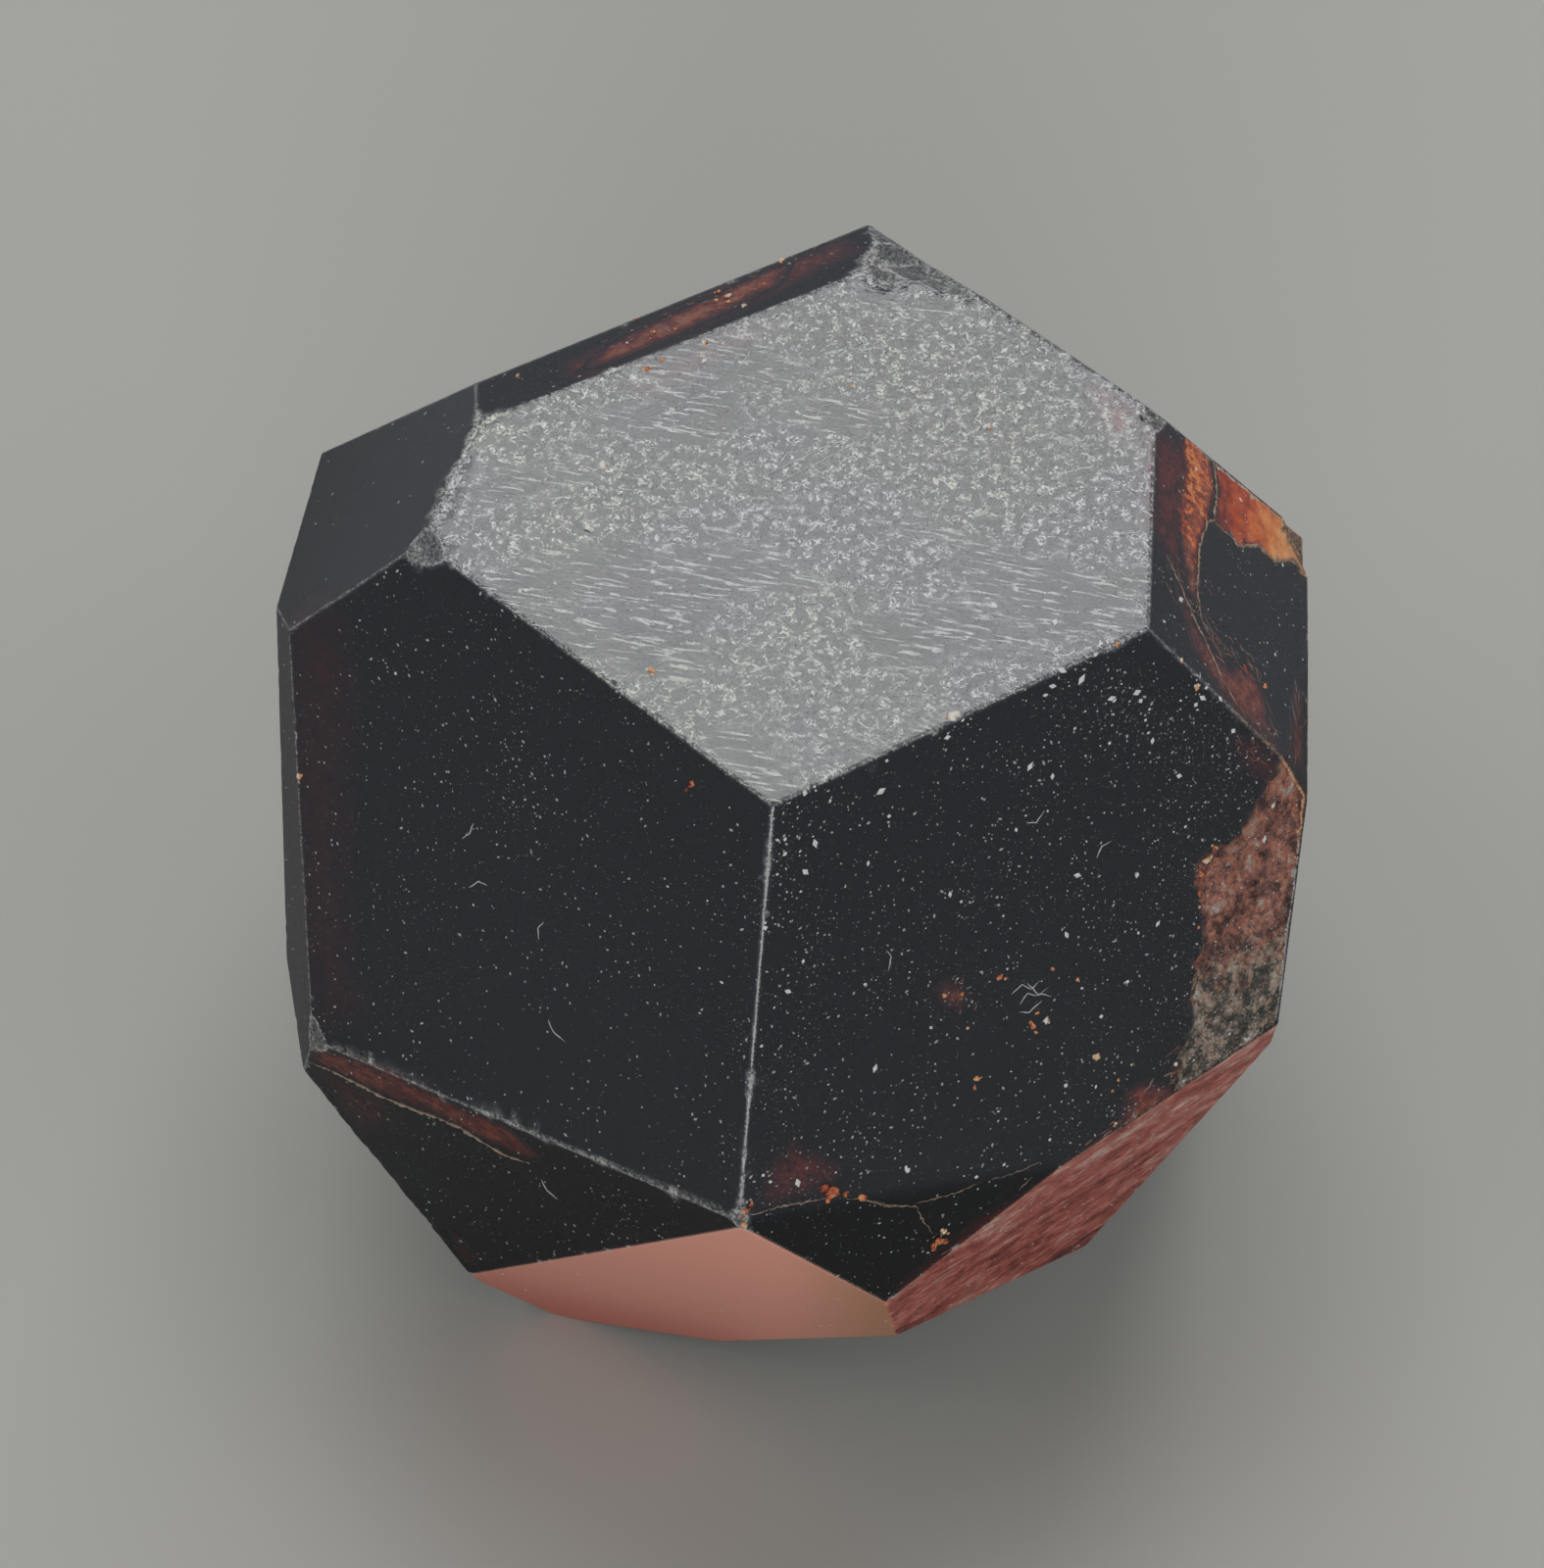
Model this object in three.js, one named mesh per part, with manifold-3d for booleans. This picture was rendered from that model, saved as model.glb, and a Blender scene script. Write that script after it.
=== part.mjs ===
// Garnet crystal: one worn and partly polished rhombic dodecahedron, about 40 mm across.
// Units are millimetres, +Z is up, and the crystal rests on one of its rhombic faces.
//
// The shape is the space behind every facet. A facet is given in the crystal's own cubic
// axes a, b, c: the direction that it faces and its distance from the crystal's centre.

import * as THREE from 'three';
import Module from 'manifold-3d';
import { ConvexGeometry } from 'three/addons/geometries/ConvexGeometry.js';
import { mergeVertices } from 'three/addons/utils/BufferGeometryUtils.js';

// Driving dimensions
const FACE = 19.6; // centre to a full rhombic face, so 39.2 between opposite ones
const BEVEL = 21.2; // centre to a bevel that takes off an edge
const CAP = 22.4; // centre to a facet that cuts off a four-edged corner

const FACETS = {
  // The twelve rhombic faces. The two low front ones grew further out than the rest.
  top: { faces: [1, 1, 0], distance: FACE },
  base: { faces: [-1, -1, 0], distance: FACE },
  frontLeft: { faces: [0, 1, 1], distance: FACE },
  frontRight: { faces: [1, 0, 1], distance: FACE },
  left: { faces: [-1, 0.96, 0.01], distance: FACE + 0.3 },
  right: { faces: [1, -1, -0.04], distance: FACE - 0.2 },
  backLeft: { faces: [0.11, 1, -0.92], distance: FACE - 0.1 },
  backRight: { faces: [1, 0, -1], distance: FACE - 0.1 },
  lowFrontLeft: { faces: [-1, 0, 1], distance: FACE + 6.4 },
  lowFrontRight: { faces: [0.05, -0.78, 1], distance: FACE + 3.1 },
  lowBackLeft: { faces: [-1, 0, -1], distance: FACE },
  lowBackRight: { faces: [0, -1, -1], distance: FACE },

  // Facets across the six corners where four faces would meet.
  leftCap: { faces: [-0.055, 1, -0.153], distance: CAP },
  rightCap: { faces: [1, -0.07, -0.014], distance: CAP - 0.1 },
  frontCap: { faces: [-0.25, -0.05, 1], distance: CAP - 0.9 },
  backCap: { faces: [0, 0, -1], distance: CAP + 0.2 },
  lowLeftCap: { faces: [-1, 0.33, 0.14], distance: CAP - 2.7 },
  lowRightCap: { faces: [0, -1, 0], distance: CAP + 0.4 },

  // Bevels along the edges that show.
  topBackBevel: { faces: [0.59, 1, -0.44], distance: BEVEL },
  leftBevel: { faces: [-0.71, 1, 0.43], distance: BEVEL + 0.25 },
  frontLeftBevel: { faces: [-0.35, 0.32, 1], distance: BEVEL - 0.2 },
  frontRightBevel: { faces: [0.66, -0.16, 1], distance: BEVEL - 0.1 },
  lowRightBevel: { faces: [0.52, -0.66, 1], distance: BEVEL - 0.1 },
  rightTip: { faces: [1, -0.22, 0.025], distance: CAP + 0.22 },

  // Bevels along the edges underneath and behind.
  underBevel: { faces: [-0.24, -1, 1.5], distance: BEVEL + 1.8 },
  underRightBevel: { faces: [1, -2, 1], distance: BEVEL + 0.1 },
  underLeftBevel: { faces: [-1, -2, 1], distance: BEVEL + 0.6 },
  backRightBevel: { faces: [1, -1, -2], distance: BEVEL + 0.8 },
  backLowBevel: { faces: [-1, -1, -2], distance: BEVEL + 0.5 },
  backLeftBevel: { faces: [-2, 1, -1], distance: BEVEL + 0.1 },
  lowBackRightBevel: { faces: [1, -2, -1], distance: BEVEL + 0.7 },
  lowBackBevel: { faces: [-1, -2, -1], distance: BEVEL + 1.0 },
  lowBackLeftBevel: { faces: [-2, -1, -1], distance: BEVEL + 0.6 },
};

// Chips: a shallow scoop out of the corner where three facets meet.
const CHIPS = [
  { at: ['top', 'topBackBevel', 'backRight'], radius: 6.5, depth: 1.0 },
  { at: ['top', 'leftCap', 'frontLeft'], radius: 2.6, depth: 0.5 },
  { at: ['frontLeft', 'frontRight', 'frontCap'], radius: 2.2, depth: 0.35 },
  { at: ['top', 'backRight', 'rightCap'], radius: 3.5, depth: 0.3 },
  { at: ['backRight', 'right', 'rightCap'], radius: 4.0, depth: 0.7 },
  { at: ['frontLeft', 'leftBevel', 'frontLeftBevel'], radius: 3.0, depth: 0.4 },
  { at: ['backRight', 'backLeft', 'backCap'], radius: 4.5, depth: 0.8 },
  { at: ['left', 'backLeftBevel', 'backLeft'], radius: 4.0, depth: 0.6 },
  { at: ['lowBackLeft', 'backLowBevel', 'backCap'], radius: 3.5, depth: 0.4 },
];
const CHIP_DETAIL = 5; // subdivisions of the ball that cuts a chip
const CHIP_UNEVENNESS = 0.05; // how far the ball's surface waves, as a part of its radius

// The cubic axes stand so that the top face is level and the c axis points to the front.
function standUp(direction) {
  const [a, b, c] = direction;
  return new THREE.Vector3((a - b) / Math.SQRT2, -c, (a + b) / Math.SQRT2);
}

function planeOf(facet) {
  return new THREE.Plane(standUp(facet.faces).normalize(), -facet.distance);
}

// The one point that lies on three planes, or null where two of them are parallel.
function meetingPoint(first, second, third) {
  const across = new THREE.Vector3().crossVectors(second.normal, third.normal);
  const volume = first.normal.dot(across);
  if (Math.abs(volume) < 1e-6) {
    return null;
  }
  const point = across.multiplyScalar(-first.constant);
  const nextAcross = new THREE.Vector3().crossVectors(third.normal, first.normal);
  const lastAcross = new THREE.Vector3().crossVectors(first.normal, second.normal);
  point.addScaledVector(nextAcross, -second.constant);
  point.addScaledVector(lastAcross, -third.constant);
  return point.divideScalar(volume);
}

// Every point where three facets meet and that no other facet cuts off.
function cornersOf(planes) {
  const corners = [];
  for (let i = 0; i < planes.length; i += 1) {
    for (let j = i + 1; j < planes.length; j += 1) {
      for (let k = j + 1; k < planes.length; k += 1) {
        const point = meetingPoint(planes[i], planes[j], planes[k]);
        if (point && planes.every((plane) => plane.distanceToPoint(point) < 1e-6)) {
          corners.push(point);
        }
      }
    }
  }
  return corners;
}

// An uneven ball that reaches the given depth into the crystal at a corner.
function chipCutter(chip) {
  const planes = chip.at.map((name) => planeOf(FACETS[name]));
  const corner = meetingPoint(...planes);
  const outward = new THREE.Vector3();
  planes.forEach((plane) => outward.add(plane.normal));
  outward.normalize();

  const ball = new THREE.IcosahedronGeometry(chip.radius, CHIP_DETAIL);
  const points = ball.getAttribute('position');
  const point = new THREE.Vector3();
  for (let i = 0; i < points.count; i += 1) {
    point.fromBufferAttribute(points, i);
    const wave = Math.sin(1.7 * point.x + corner.y) * Math.cos(1.9 * point.y + point.z);
    point.multiplyScalar(1 + CHIP_UNEVENNESS * wave);
    points.setXYZ(i, point.x, point.y, point.z);
  }
  const centre = corner.addScaledVector(outward, chip.radius - chip.depth);
  return ball.translate(centre.x, centre.y, centre.z);
}

const wasm = await Module();
wasm.setup();

function toSolid(geometry) {
  geometry.deleteAttribute('normal');
  geometry.deleteAttribute('uv');
  const merged = mergeVertices(geometry, 1e-5);
  const vertProperties = new Float32Array(merged.getAttribute('position').array);
  const triVerts = new Uint32Array(merged.index.array);
  return new wasm.Manifold(new wasm.Mesh({ numProp: 3, vertProperties, triVerts }));
}

function toGeometry(solid) {
  const { vertProperties, triVerts } = solid.getMesh();
  const geometry = new THREE.BufferGeometry();
  geometry.setAttribute('position', new THREE.BufferAttribute(vertProperties, 3));
  geometry.setIndex(new THREE.BufferAttribute(triVerts, 1));
  geometry.computeVertexNormals();
  return geometry;
}

function makeCrystal() {
  const planes = Object.values(FACETS).map(planeOf);
  let solid = toSolid(new ConvexGeometry(cornersOf(planes)));
  CHIPS.forEach((chip) => {
    solid = solid.subtract(toSolid(chipCutter(chip)));
  });

  const garnet = new THREE.MeshStandardMaterial({
    color: 0x1c0a0c,
    roughness: 0.18,
    metalness: 0,
  });
  const crystal = new THREE.Mesh(toGeometry(solid), garnet);
  crystal.name = 'garnet_crystal';

  // The origin is under the middle of the crystal, on the surface that it rests on.
  const box = new THREE.Box3().setFromObject(crystal);
  const middle = box.getCenter(new THREE.Vector3());
  crystal.position.set(-middle.x, -middle.y, -box.min.z);
  return crystal;
}

const part = new THREE.Group();
part.add(makeCrystal());

export default part;
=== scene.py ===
"""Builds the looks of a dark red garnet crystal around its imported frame.

The frame gives the crystal's size and facets. Everything here is in metres, in the frame's
own axes: +Z up, the crystal resting on one rhombic face, the etched face on top.
"""

import math
import random

import bmesh
import bpy
import numpy as np
from mathutils import Matrix, Vector, noise
from mathutils.bvhtree import BVHTree
from mathutils.geometry import delaunay_2d_cdt


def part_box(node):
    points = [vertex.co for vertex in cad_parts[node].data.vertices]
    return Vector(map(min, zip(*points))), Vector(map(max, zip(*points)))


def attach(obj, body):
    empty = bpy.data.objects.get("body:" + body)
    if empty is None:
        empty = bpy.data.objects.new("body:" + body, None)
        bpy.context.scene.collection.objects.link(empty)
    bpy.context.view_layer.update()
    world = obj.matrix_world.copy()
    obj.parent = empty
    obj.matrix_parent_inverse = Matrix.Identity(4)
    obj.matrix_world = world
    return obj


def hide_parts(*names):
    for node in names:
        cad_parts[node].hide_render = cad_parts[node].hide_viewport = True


bl_info = {
    "name": "Garnet Crystal",
    "version": (1, 0, 0),
    "blender": (4, 5, 0),
    "location": "View3D > Sidebar > Garnet",
    "description": "Builds a worn garnet crystal with its inclusions and dust",
    "category": "Add Mesh",
}

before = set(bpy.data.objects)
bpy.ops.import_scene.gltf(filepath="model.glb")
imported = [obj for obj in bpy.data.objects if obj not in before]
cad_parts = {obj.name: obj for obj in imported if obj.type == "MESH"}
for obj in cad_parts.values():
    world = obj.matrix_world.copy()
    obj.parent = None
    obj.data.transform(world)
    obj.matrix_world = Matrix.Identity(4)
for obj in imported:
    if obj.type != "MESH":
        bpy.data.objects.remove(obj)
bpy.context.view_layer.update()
CAD_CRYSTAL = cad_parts["garnet_crystal"]
LOW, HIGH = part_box("garnet_crystal")
CENTRE = (LOW + HIGH) / 2
BODY = "root"
MM = 0.001

# Which way each named facet faces
FACING = {
    "top": (0.0, 0.0, 1.0),
    "front_left": (-0.5, -0.707, 0.5),
    "front_right": (0.5, -0.707, 0.5),
    "left_cap": (-0.736, 0.151, 0.66),
    "right_cap": (0.755, 0.014, 0.656),
    "right_tip": (0.842, -0.024, 0.539),
    "front_cap": (-0.137, -0.969, -0.206),
    "top_back_bevel": (-0.233, 0.354, 0.905),
    "left_bevel": (-0.93, -0.331, 0.158),
    "front_left_bevel": (-0.428, -0.904, -0.019),
    "front_right_bevel": (0.48, -0.827, 0.292),
    "low_right_bevel": (0.639, -0.766, -0.076),
    "back_right": (0.5, 0.707, 0.5),
    "base": (0.0, 0.0, -1.0),
}


# ---------------------------------------------------------------- sizes and colours


def length(name, description, default, **more):
    """A size in metres, shown with its unit."""
    return bpy.props.FloatProperty(
        name=name, description=description, default=default, unit="LENGTH", precision=5, **more
    )


def number(name, description, default, **more):
    """A plain number or, with a subtype, an angle in radians."""
    return bpy.props.FloatProperty(name=name, description=description, default=default, **more)


def angle(name, description, degrees):
    """An angle, given here in degrees."""
    return number(name, description, math.radians(degrees), subtype="ANGLE")


def colour(name, description, default):
    """A colour, as light that is given back from 0 to 1."""
    return bpy.props.FloatVectorProperty(
        name=name, description=description, default=default, subtype="COLOR", min=0, max=1, size=3
    )


class CrystalSizes(bpy.types.PropertyGroup):
    """The worn surface of the crystal."""

    spacing: length("Spacing", "Distance between mesh points along a sharp edge", 0.18 * MM)
    wear: length("Edge wear", "Usual width of the worn strip along an edge", 0.05 * MM)
    chips: length("Edge chips", "Width of the largest chips along an edge", 0.2 * MM)
    pitting: length("Pitting", "Depth of the rough, iron stained patch", 0.22 * MM)
    seed: bpy.props.IntProperty(name="Seed", description="Pattern of wear", default=7)


class GarnetLook(bpy.types.PropertyGroup):
    """The see-through garnet."""

    ior: number("Index of refraction", "How strongly the garnet bends light", 1.78)
    passed: colour("Passed colour", "Colour that is left by the garnet", (0.755, 0.06, 0.0))
    density: number("Density", "Light taken up for each metre of garnet", 900.0)
    crushed: colour("Bruise colour", "Crushed garnet along the edges", (0.6, 0.6, 0.585))
    etched: colour("Etch colour", "Raised strokes on the etched face", (0.9, 0.92, 0.9))
    powder: colour("Powder colour", "Fine dust that dulls every face a little", (0.36, 0.41, 0.48))
    # The painted pink-brown reflection on the lower front faces, given as a film colour
    film: colour("Painted reflection colour", "Thin clay film on the lower faces", (0.8, 0.355, 0.27))
    brown: colour("Stain colour", "Iron stain in the pitted patch", (0.26, 0.115, 0.09))
    grey: colour("Grey stain colour", "Lower part of the pitted patch", (0.17, 0.155, 0.125))


class DustSizes(bpy.types.PropertyGroup):
    """Loose specks and fibres on the crystal."""

    speck: length("Speck", "Size of a usual speck", 0.0175 * MM)
    crowd: number("Specks", "Specks for each square metre where dust is thickest", 1.5e7)
    flake: length("Flake", "Size of a usual pale flake", 0.038 * MM)
    flakes: number("Flakes", "Flakes for each square metre of the etched face", 6e5)
    fibre: length("Fibre", "Thickness of a fibre", 0.04 * MM)
    seed: bpy.props.IntProperty(name="Seed", description="Where the dust lies", default=11)


class StageSizes(bpy.types.PropertyGroup):
    """Camera, floor and lights."""

    lens: number("Lens", "Focal length in millimetres", 78.75)
    distance: length("Camera distance", "From the crystal's middle", 142.0 * MM)
    elevation: angle("Elevation", "Camera above the horizon", 57.92)
    azimuth: angle("Azimuth", "Camera round the crystal, from the front", 4.06)
    roll: angle("Roll", "Camera about its own axis", 2.09)


# ---------------------------------------------------------------- node trees


class Net:
    """Adds nodes to one tree."""

    def __init__(self, tree):
        self.tree = tree

    def node(self, kind, settings=None, sockets=None):
        made = self.tree.nodes.new(kind)
        for name, value in (settings or {}).items():
            if name == "stops":
                self.set_stops(made.color_ramp, value)
            else:
                setattr(made, name, value)
        for name, value in (sockets or {}).items():
            self.feed(made.inputs[name], value)
        return made

    @staticmethod
    def set_stops(ramp, stops):
        while len(ramp.elements) < len(stops):
            ramp.elements.new(0.5)
        for element, (place, shade) in zip(ramp.elements, stops):
            element.position = place
            element.color = (*shade, 1)

    def feed(self, socket, value):
        if isinstance(value, Value):
            value = value.socket
        if isinstance(value, bpy.types.NodeSocket):
            self.tree.links.new(value, socket)
        else:
            socket.default_value = value

    def value(self, kind, settings=None, sockets=None, output=0):
        """A node whose output is used as a number."""
        return Value(self, self.node(kind, settings, sockets).outputs[output])

    def attribute(self, name):
        return self.value("ShaderNodeAttribute", {"attribute_name": name}, output="Fac")

    def place(self, size=(1, 1, 1), turn=(0, 0, 0), shift=0.0):
        """Object coordinates where a pattern's cells have this size in mm, once turned."""
        sockets = {
            "Vector": self.node("ShaderNodeTexCoord").outputs["Object"],
            "Location": (shift * MM, shift * MM, shift * MM),
            "Rotation": [math.radians(angle) for angle in turn],
            "Scale": [part * MM for part in size],
        }
        return self.node("ShaderNodeMapping", {"vector_type": "TEXTURE"}, sockets).outputs[0]

    def cloud(self, vector, scale=1.0, detail=3.0, roughness=0.55, distortion=0.0):
        """Soft noise about 0.5."""
        sockets = {
            "Vector": vector,
            "Scale": scale,
            "Detail": detail,
            "Roughness": roughness,
            "Distortion": distortion,
        }
        return self.value("ShaderNodeTexNoise", None, sockets, "Fac")

    def blend(self, mask, first, second):
        """Colour first where mask is 0 and second where it is 1."""
        made = self.node("ShaderNodeMix", {"data_type": "RGBA", "clamp_factor": True})
        self.feed(made.inputs["Factor"], mask)
        for socket, shade in zip(made.inputs[6:8], (first, second)):
            plain = not isinstance(shade, bpy.types.NodeSocket)
            self.feed(socket, (*shade, 1) if plain else shade)
        return made.outputs[2]

    def bump(self, height, strength, distance):
        """A normal that is raised by a height, which stands for this distance."""
        sockets = {"Height": height, "Strength": strength, "Distance": distance}
        return self.node("ShaderNodeBump", None, sockets).outputs[0]

    def part(self, vector, axis):
        """One coordinate of a vector."""
        return self.value("ShaderNodeSeparateXYZ", None, {"Vector": vector}, axis)

    def ramp(self, mask, stops):
        return self.node("ShaderNodeValToRGB", {"stops": stops}, {"Fac": mask}).outputs["Color"]


class Value:
    """A number socket. Sums on it add Math nodes."""

    def __init__(self, net, socket):
        self.net = net
        self.socket = socket

    def math(self, operation, *others, first=None):
        node = self.net.node("ShaderNodeMath", {"operation": operation})
        values = [self if first is None else first, *others]
        for socket, value in zip(node.inputs, values):
            self.net.feed(socket, value)
        return Value(self.net, node.outputs[0])

    def __add__(self, other):
        return self.math("ADD", other)

    __radd__ = __add__

    def __sub__(self, other):
        return self.math("SUBTRACT", other)

    def __rsub__(self, other):
        return self.math("SUBTRACT", self, first=other)

    def __mul__(self, other):
        return self.math("MULTIPLY", other)

    __rmul__ = __mul__

    def __pow__(self, other):
        return self.math("POWER", other)

    def above(self, low, high):
        """0 below low, 1 above high, and smooth between."""
        sockets = {"Value": self, "From Min": low, "From Max": high}
        settings = {"interpolation_type": "SMOOTHSTEP"}
        return self.net.value("ShaderNodeMapRange", settings, sockets)

    def clamped(self):
        return self.net.value("ShaderNodeClamp", None, {"Value": self})

    def largest(self, other):
        return self.math("MAXIMUM", other)


def new_material(name):
    """A material with a cleared tree, its net and its output node."""
    material = bpy.data.materials.new(name)
    material.use_nodes = True
    material.node_tree.nodes.clear()
    net = Net(material.node_tree)
    return material, net, net.node("ShaderNodeOutputMaterial")


def shell(net, sockets):
    """A surface with these settings."""
    return net.node("ShaderNodeBsdfPrincipled", None, sockets).outputs[0]


def mixed(net, mask, first, second):
    """Surface first where mask is 0 and second where it is 1."""
    node = net.node("ShaderNodeMixShader")
    net.feed(node.inputs[0], mask)
    net.feed(node.inputs[1], first)
    net.feed(node.inputs[2], second)
    return node.outputs[0]


def matte(name, shade, roughness=0.7, grain=8.0, spread=0.35):
    """A dull material whose shade varies from place to place."""
    material, net, out = new_material(name)
    patches = net.cloud(net.place(), grain)
    dark = [part * (1 - spread) for part in shade]
    light = [min(part * (1 + spread), 1) for part in shade]
    surface = shell(net, {"Base Color": net.blend(patches, dark, light), "Roughness": roughness})
    net.feed(out.inputs["Surface"], surface)
    return material


# ---------------------------------------------------------------- facets


SAME_WAY = 0.9995  # cosine between two facings that count as one
SAME_FACE = 0.9999  # the same, for a facet's own large face
LEVEL = 0.95  # a facet that faces up or down more than this has the back as its upper side
WELD = 1e-7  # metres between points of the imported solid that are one
ONE_PLACE = 1e-6  # mm between flat places that are one
JOINED = math.radians(0.4)  # triangles that bend less belong to one facet


class Facet:
    """A flat face, with places on it given in millimetres right, up and deep.

    They are counted from the point of the face's plane that is nearest to the middle of
    the crystal, as seen from outside with the face upright.
    """

    def __init__(self, polygons, facing):
        wanted = Vector(facing).normalized()
        near = [p for p in polygons if p.normal.dot(wanted) > SAME_WAY]
        if not near:
            raise RuntimeError(f"no facet faces {facing}")
        polygon = max(near, key=lambda p: p.calc_area())
        self.normal = polygon.normal.copy()
        upright = Vector((0, 1, 0)) if abs(self.normal.z) > LEVEL else Vector((0, 0, 1))
        self.up = (upright - self.normal * upright.dot(self.normal)).normalized()
        self.right = self.up.cross(self.normal)
        reach = (polygon.calc_center_median() - CENTRE).dot(self.normal)
        self.middle = CENTRE + self.normal * reach

    def at(self, right, up, deep=0.0):
        offset = self.right * right + self.up * up - self.normal * deep
        return self.middle + offset * MM


def flat_faces():
    """The CAD crystal with its triangles joined into flat facets, as a bmesh."""
    made = bmesh.new()
    made.from_mesh(CAD_CRYSTAL.data)
    bmesh.ops.remove_doubles(made, verts=made.verts, dist=WELD)
    bmesh.ops.dissolve_limit(made, angle_limit=JOINED, verts=made.verts, edges=made.edges)
    made.normal_update()
    for parts in (made.verts, made.edges, made.faces):
        parts.index_update()
    return made


SHAPE = flat_faces()
FACETS = {name: Facet(SHAPE.faces, facing) for name, facing in FACING.items()}


# ---------------------------------------------------------------- the worn surface


SHARP = math.radians(14)  # flatter edges are within a chip and don't wear
ROWS = (0.07, 0.15, 0.27)  # mm from a sharp edge, where rows of points follow it
FAR = 99.0
LEVELS = ((0.3, 0.4, 1.2), (0.7, 1.2, 3.0), (1.6, 3.0, FAR))  # point spacing, from, to, in mm
PATCH_STEP = 0.22  # mm between points in a stained patch
PATCH_RIM = 0.7  # mm round a stained patch where the points stay as close
RIM_GAP = 0.4  # mm next to a facet's outline that its rows of points fill
LEAST_GAP = 0.05  # mm between a facet's outline and its first points
SLANTED = (0.31, 0.52, 0.79)  # a direction that no facet faces
SCOOP_AREA = 0.8 * MM**2  # smaller faces belong to a chip's hollow

def by_facet(table):
    """The rows of a table that is sorted by facet, each with the facet's name first."""
    return tuple((name, *row) for name, rows in table for row in rows)


# Where edges are more bruised than elsewhere: on a facet, the place, how far it reaches
# and how much wider the wear is, in mm
BRUISES = by_facet((
    ("top", (
        (-12.9, -1.4, 2.2, 0.45), (-12.0, 1.6, 2.0, 0.24), (1.5, 11.5, 2.6, 0.2),
        (6.0, 9.5, 3.0, 0.08),
    )),
    ("front_left", (
        (8.7, 9.6, 1.6, 0.08), (11.7, 1.3, 1.0, 0.12), (12.8, -2.0, 2.0, 0.06),
        (13.4, -3.7, 0.9, 0.12), (7.5, -5.5, 1.2, 0.14), (6.0, -7.0, 2.0, 0.07),
        (3.3, -7.5, 2.6, 0.14), (-0.8, -8.8, 2.2, 0.08),
    )),
    ("front_left_bevel", ((-9.6, -3.4, 2.5, 0.1), (-6.4, -10.3, 4.5, 0.16))),
    ("front_right", ((-8.4, -4.0, 1.1, 0.12), (6.5, 11.7, 1.0, 0.16), (-0.1, 12.0, 0.7, 0.22))),
    ("right_cap", ((4.6, 3.0, 1.2, 0.12),)),
))

# Stained places and places with a painted reflection on the surface: the facet and the outline, in
# mm right and up.
PITTED = (
    "front_right",
    (
        (12.9, 4.6), (11.6, 3.3), (10.9, 2.6), (10.2, 1.9), (9.4, 1.4), (8.5, 1.5), (7.8, 1.1),
        (7.5, 0.2), (7.7, -1.2), (7.3, -2.4), (6.9, -3.4), (6.3, -4.3), (6.2, -5.6), (5.4, -6.6),
        (4.9, -7.9), (2.4, -8.3), (1.6, -9.6), (10.5, -9.5), (13.0, -1.7), (14.0, 3.0),
    ),
)
OCHRE = (
    "right_cap",
    (
        (6.5, 2.9), (4.4, 2.3), (3.2, 2.3), (2.5, 2.6), (2.5, 1.3), (2.3, 0.9), (3.2, -0.4),
        (3.1, -1.7), (3.8, -2.6), (3.9, -4.6), (7.0, -3.4),
    ),
)
BAND = (
    "right_cap",
    (
        (5.7, 4.0), (5.5, 3.3), (5.1, 2.8), (4.2, 2.5), (3.0, 2.8), (2.2, 2.9), (1.3, 3.2),
        (0.5, 3.5), (-0.6, 3.5), (-1.2, 3.4), (-0.6, 4.1), (0.3, 4.3), (0.7, 4.6), (1.3, 4.8),
        (2.4, 4.6), (3.5, 4.5), (4.3, 4.6), (5.0, 4.5),
    ),
)
WHOLE_CAP = ("right_cap", ((-9, -9), (9, -9), (9, 9), (-9, 9)))
FINE_NET = (PITTED, WHOLE_CAP)  # where the net of points is as fine as the stains need
REFLECTION_COVER = {"front_cap": 0.92, "low_right_bevel": 0.88}  # how much the painted pink-brown reflection hides


def inside(points, outline):
    """Which of the flat points lie within the outline."""
    x, y = points[:, 0], points[:, 1]
    found = np.zeros(len(points), bool)
    for (x0, y0), (x1, y1) in zip(outline, np.roll(outline, -1, axis=0)):
        if y0 != y1:
            crossing = (x1 - x0) * (y - y0) / (y1 - y0) + x0
            found ^= ((y0 > y) != (y1 > y)) & (x < crossing)
    return found


def distance_to(points, starts, ends):
    """Distance of every point to every segment, one row for a point."""
    along = ends - starts
    squared = np.maximum((along**2).sum(1), 1e-12)
    away = points[:, None, :] - starts[None]
    share = np.clip((away * along[None]).sum(2) / squared, 0, 1)
    nearest = starts[None] + along[None] * share[..., None]
    return np.linalg.norm(points[:, None, :] - nearest, axis=2)


def staggered(low, high, step):
    """A flat grid of places with every second row moved by half a step."""
    grid = np.mgrid[low[0] : high[0] : step, low[1] : high[1] : step].reshape(2, -1).T
    rows = np.round((grid[:, 1] - low[1]) / step) % 2
    return grid + np.stack([rows * step / 2, np.zeros(len(grid))], 1)


def is_sharp(edge):
    return len(edge.link_faces) == 2 and edge.calc_face_angle(0) > SHARP


def in_facet(normal):
    """Whether a face lies along one of the named facets."""
    return any(facet.normal.dot(normal) > SAME_WAY for facet in FACETS.values())


def depth_within(flat, outline):
    """How far inside an outline each flat place is. It is below zero outside."""
    corners = np.array(outline, float)
    away = distance_to(flat, corners, np.roll(corners, -1, axis=0)).min(1)
    return np.where(inside(flat, corners), away, -away)


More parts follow.
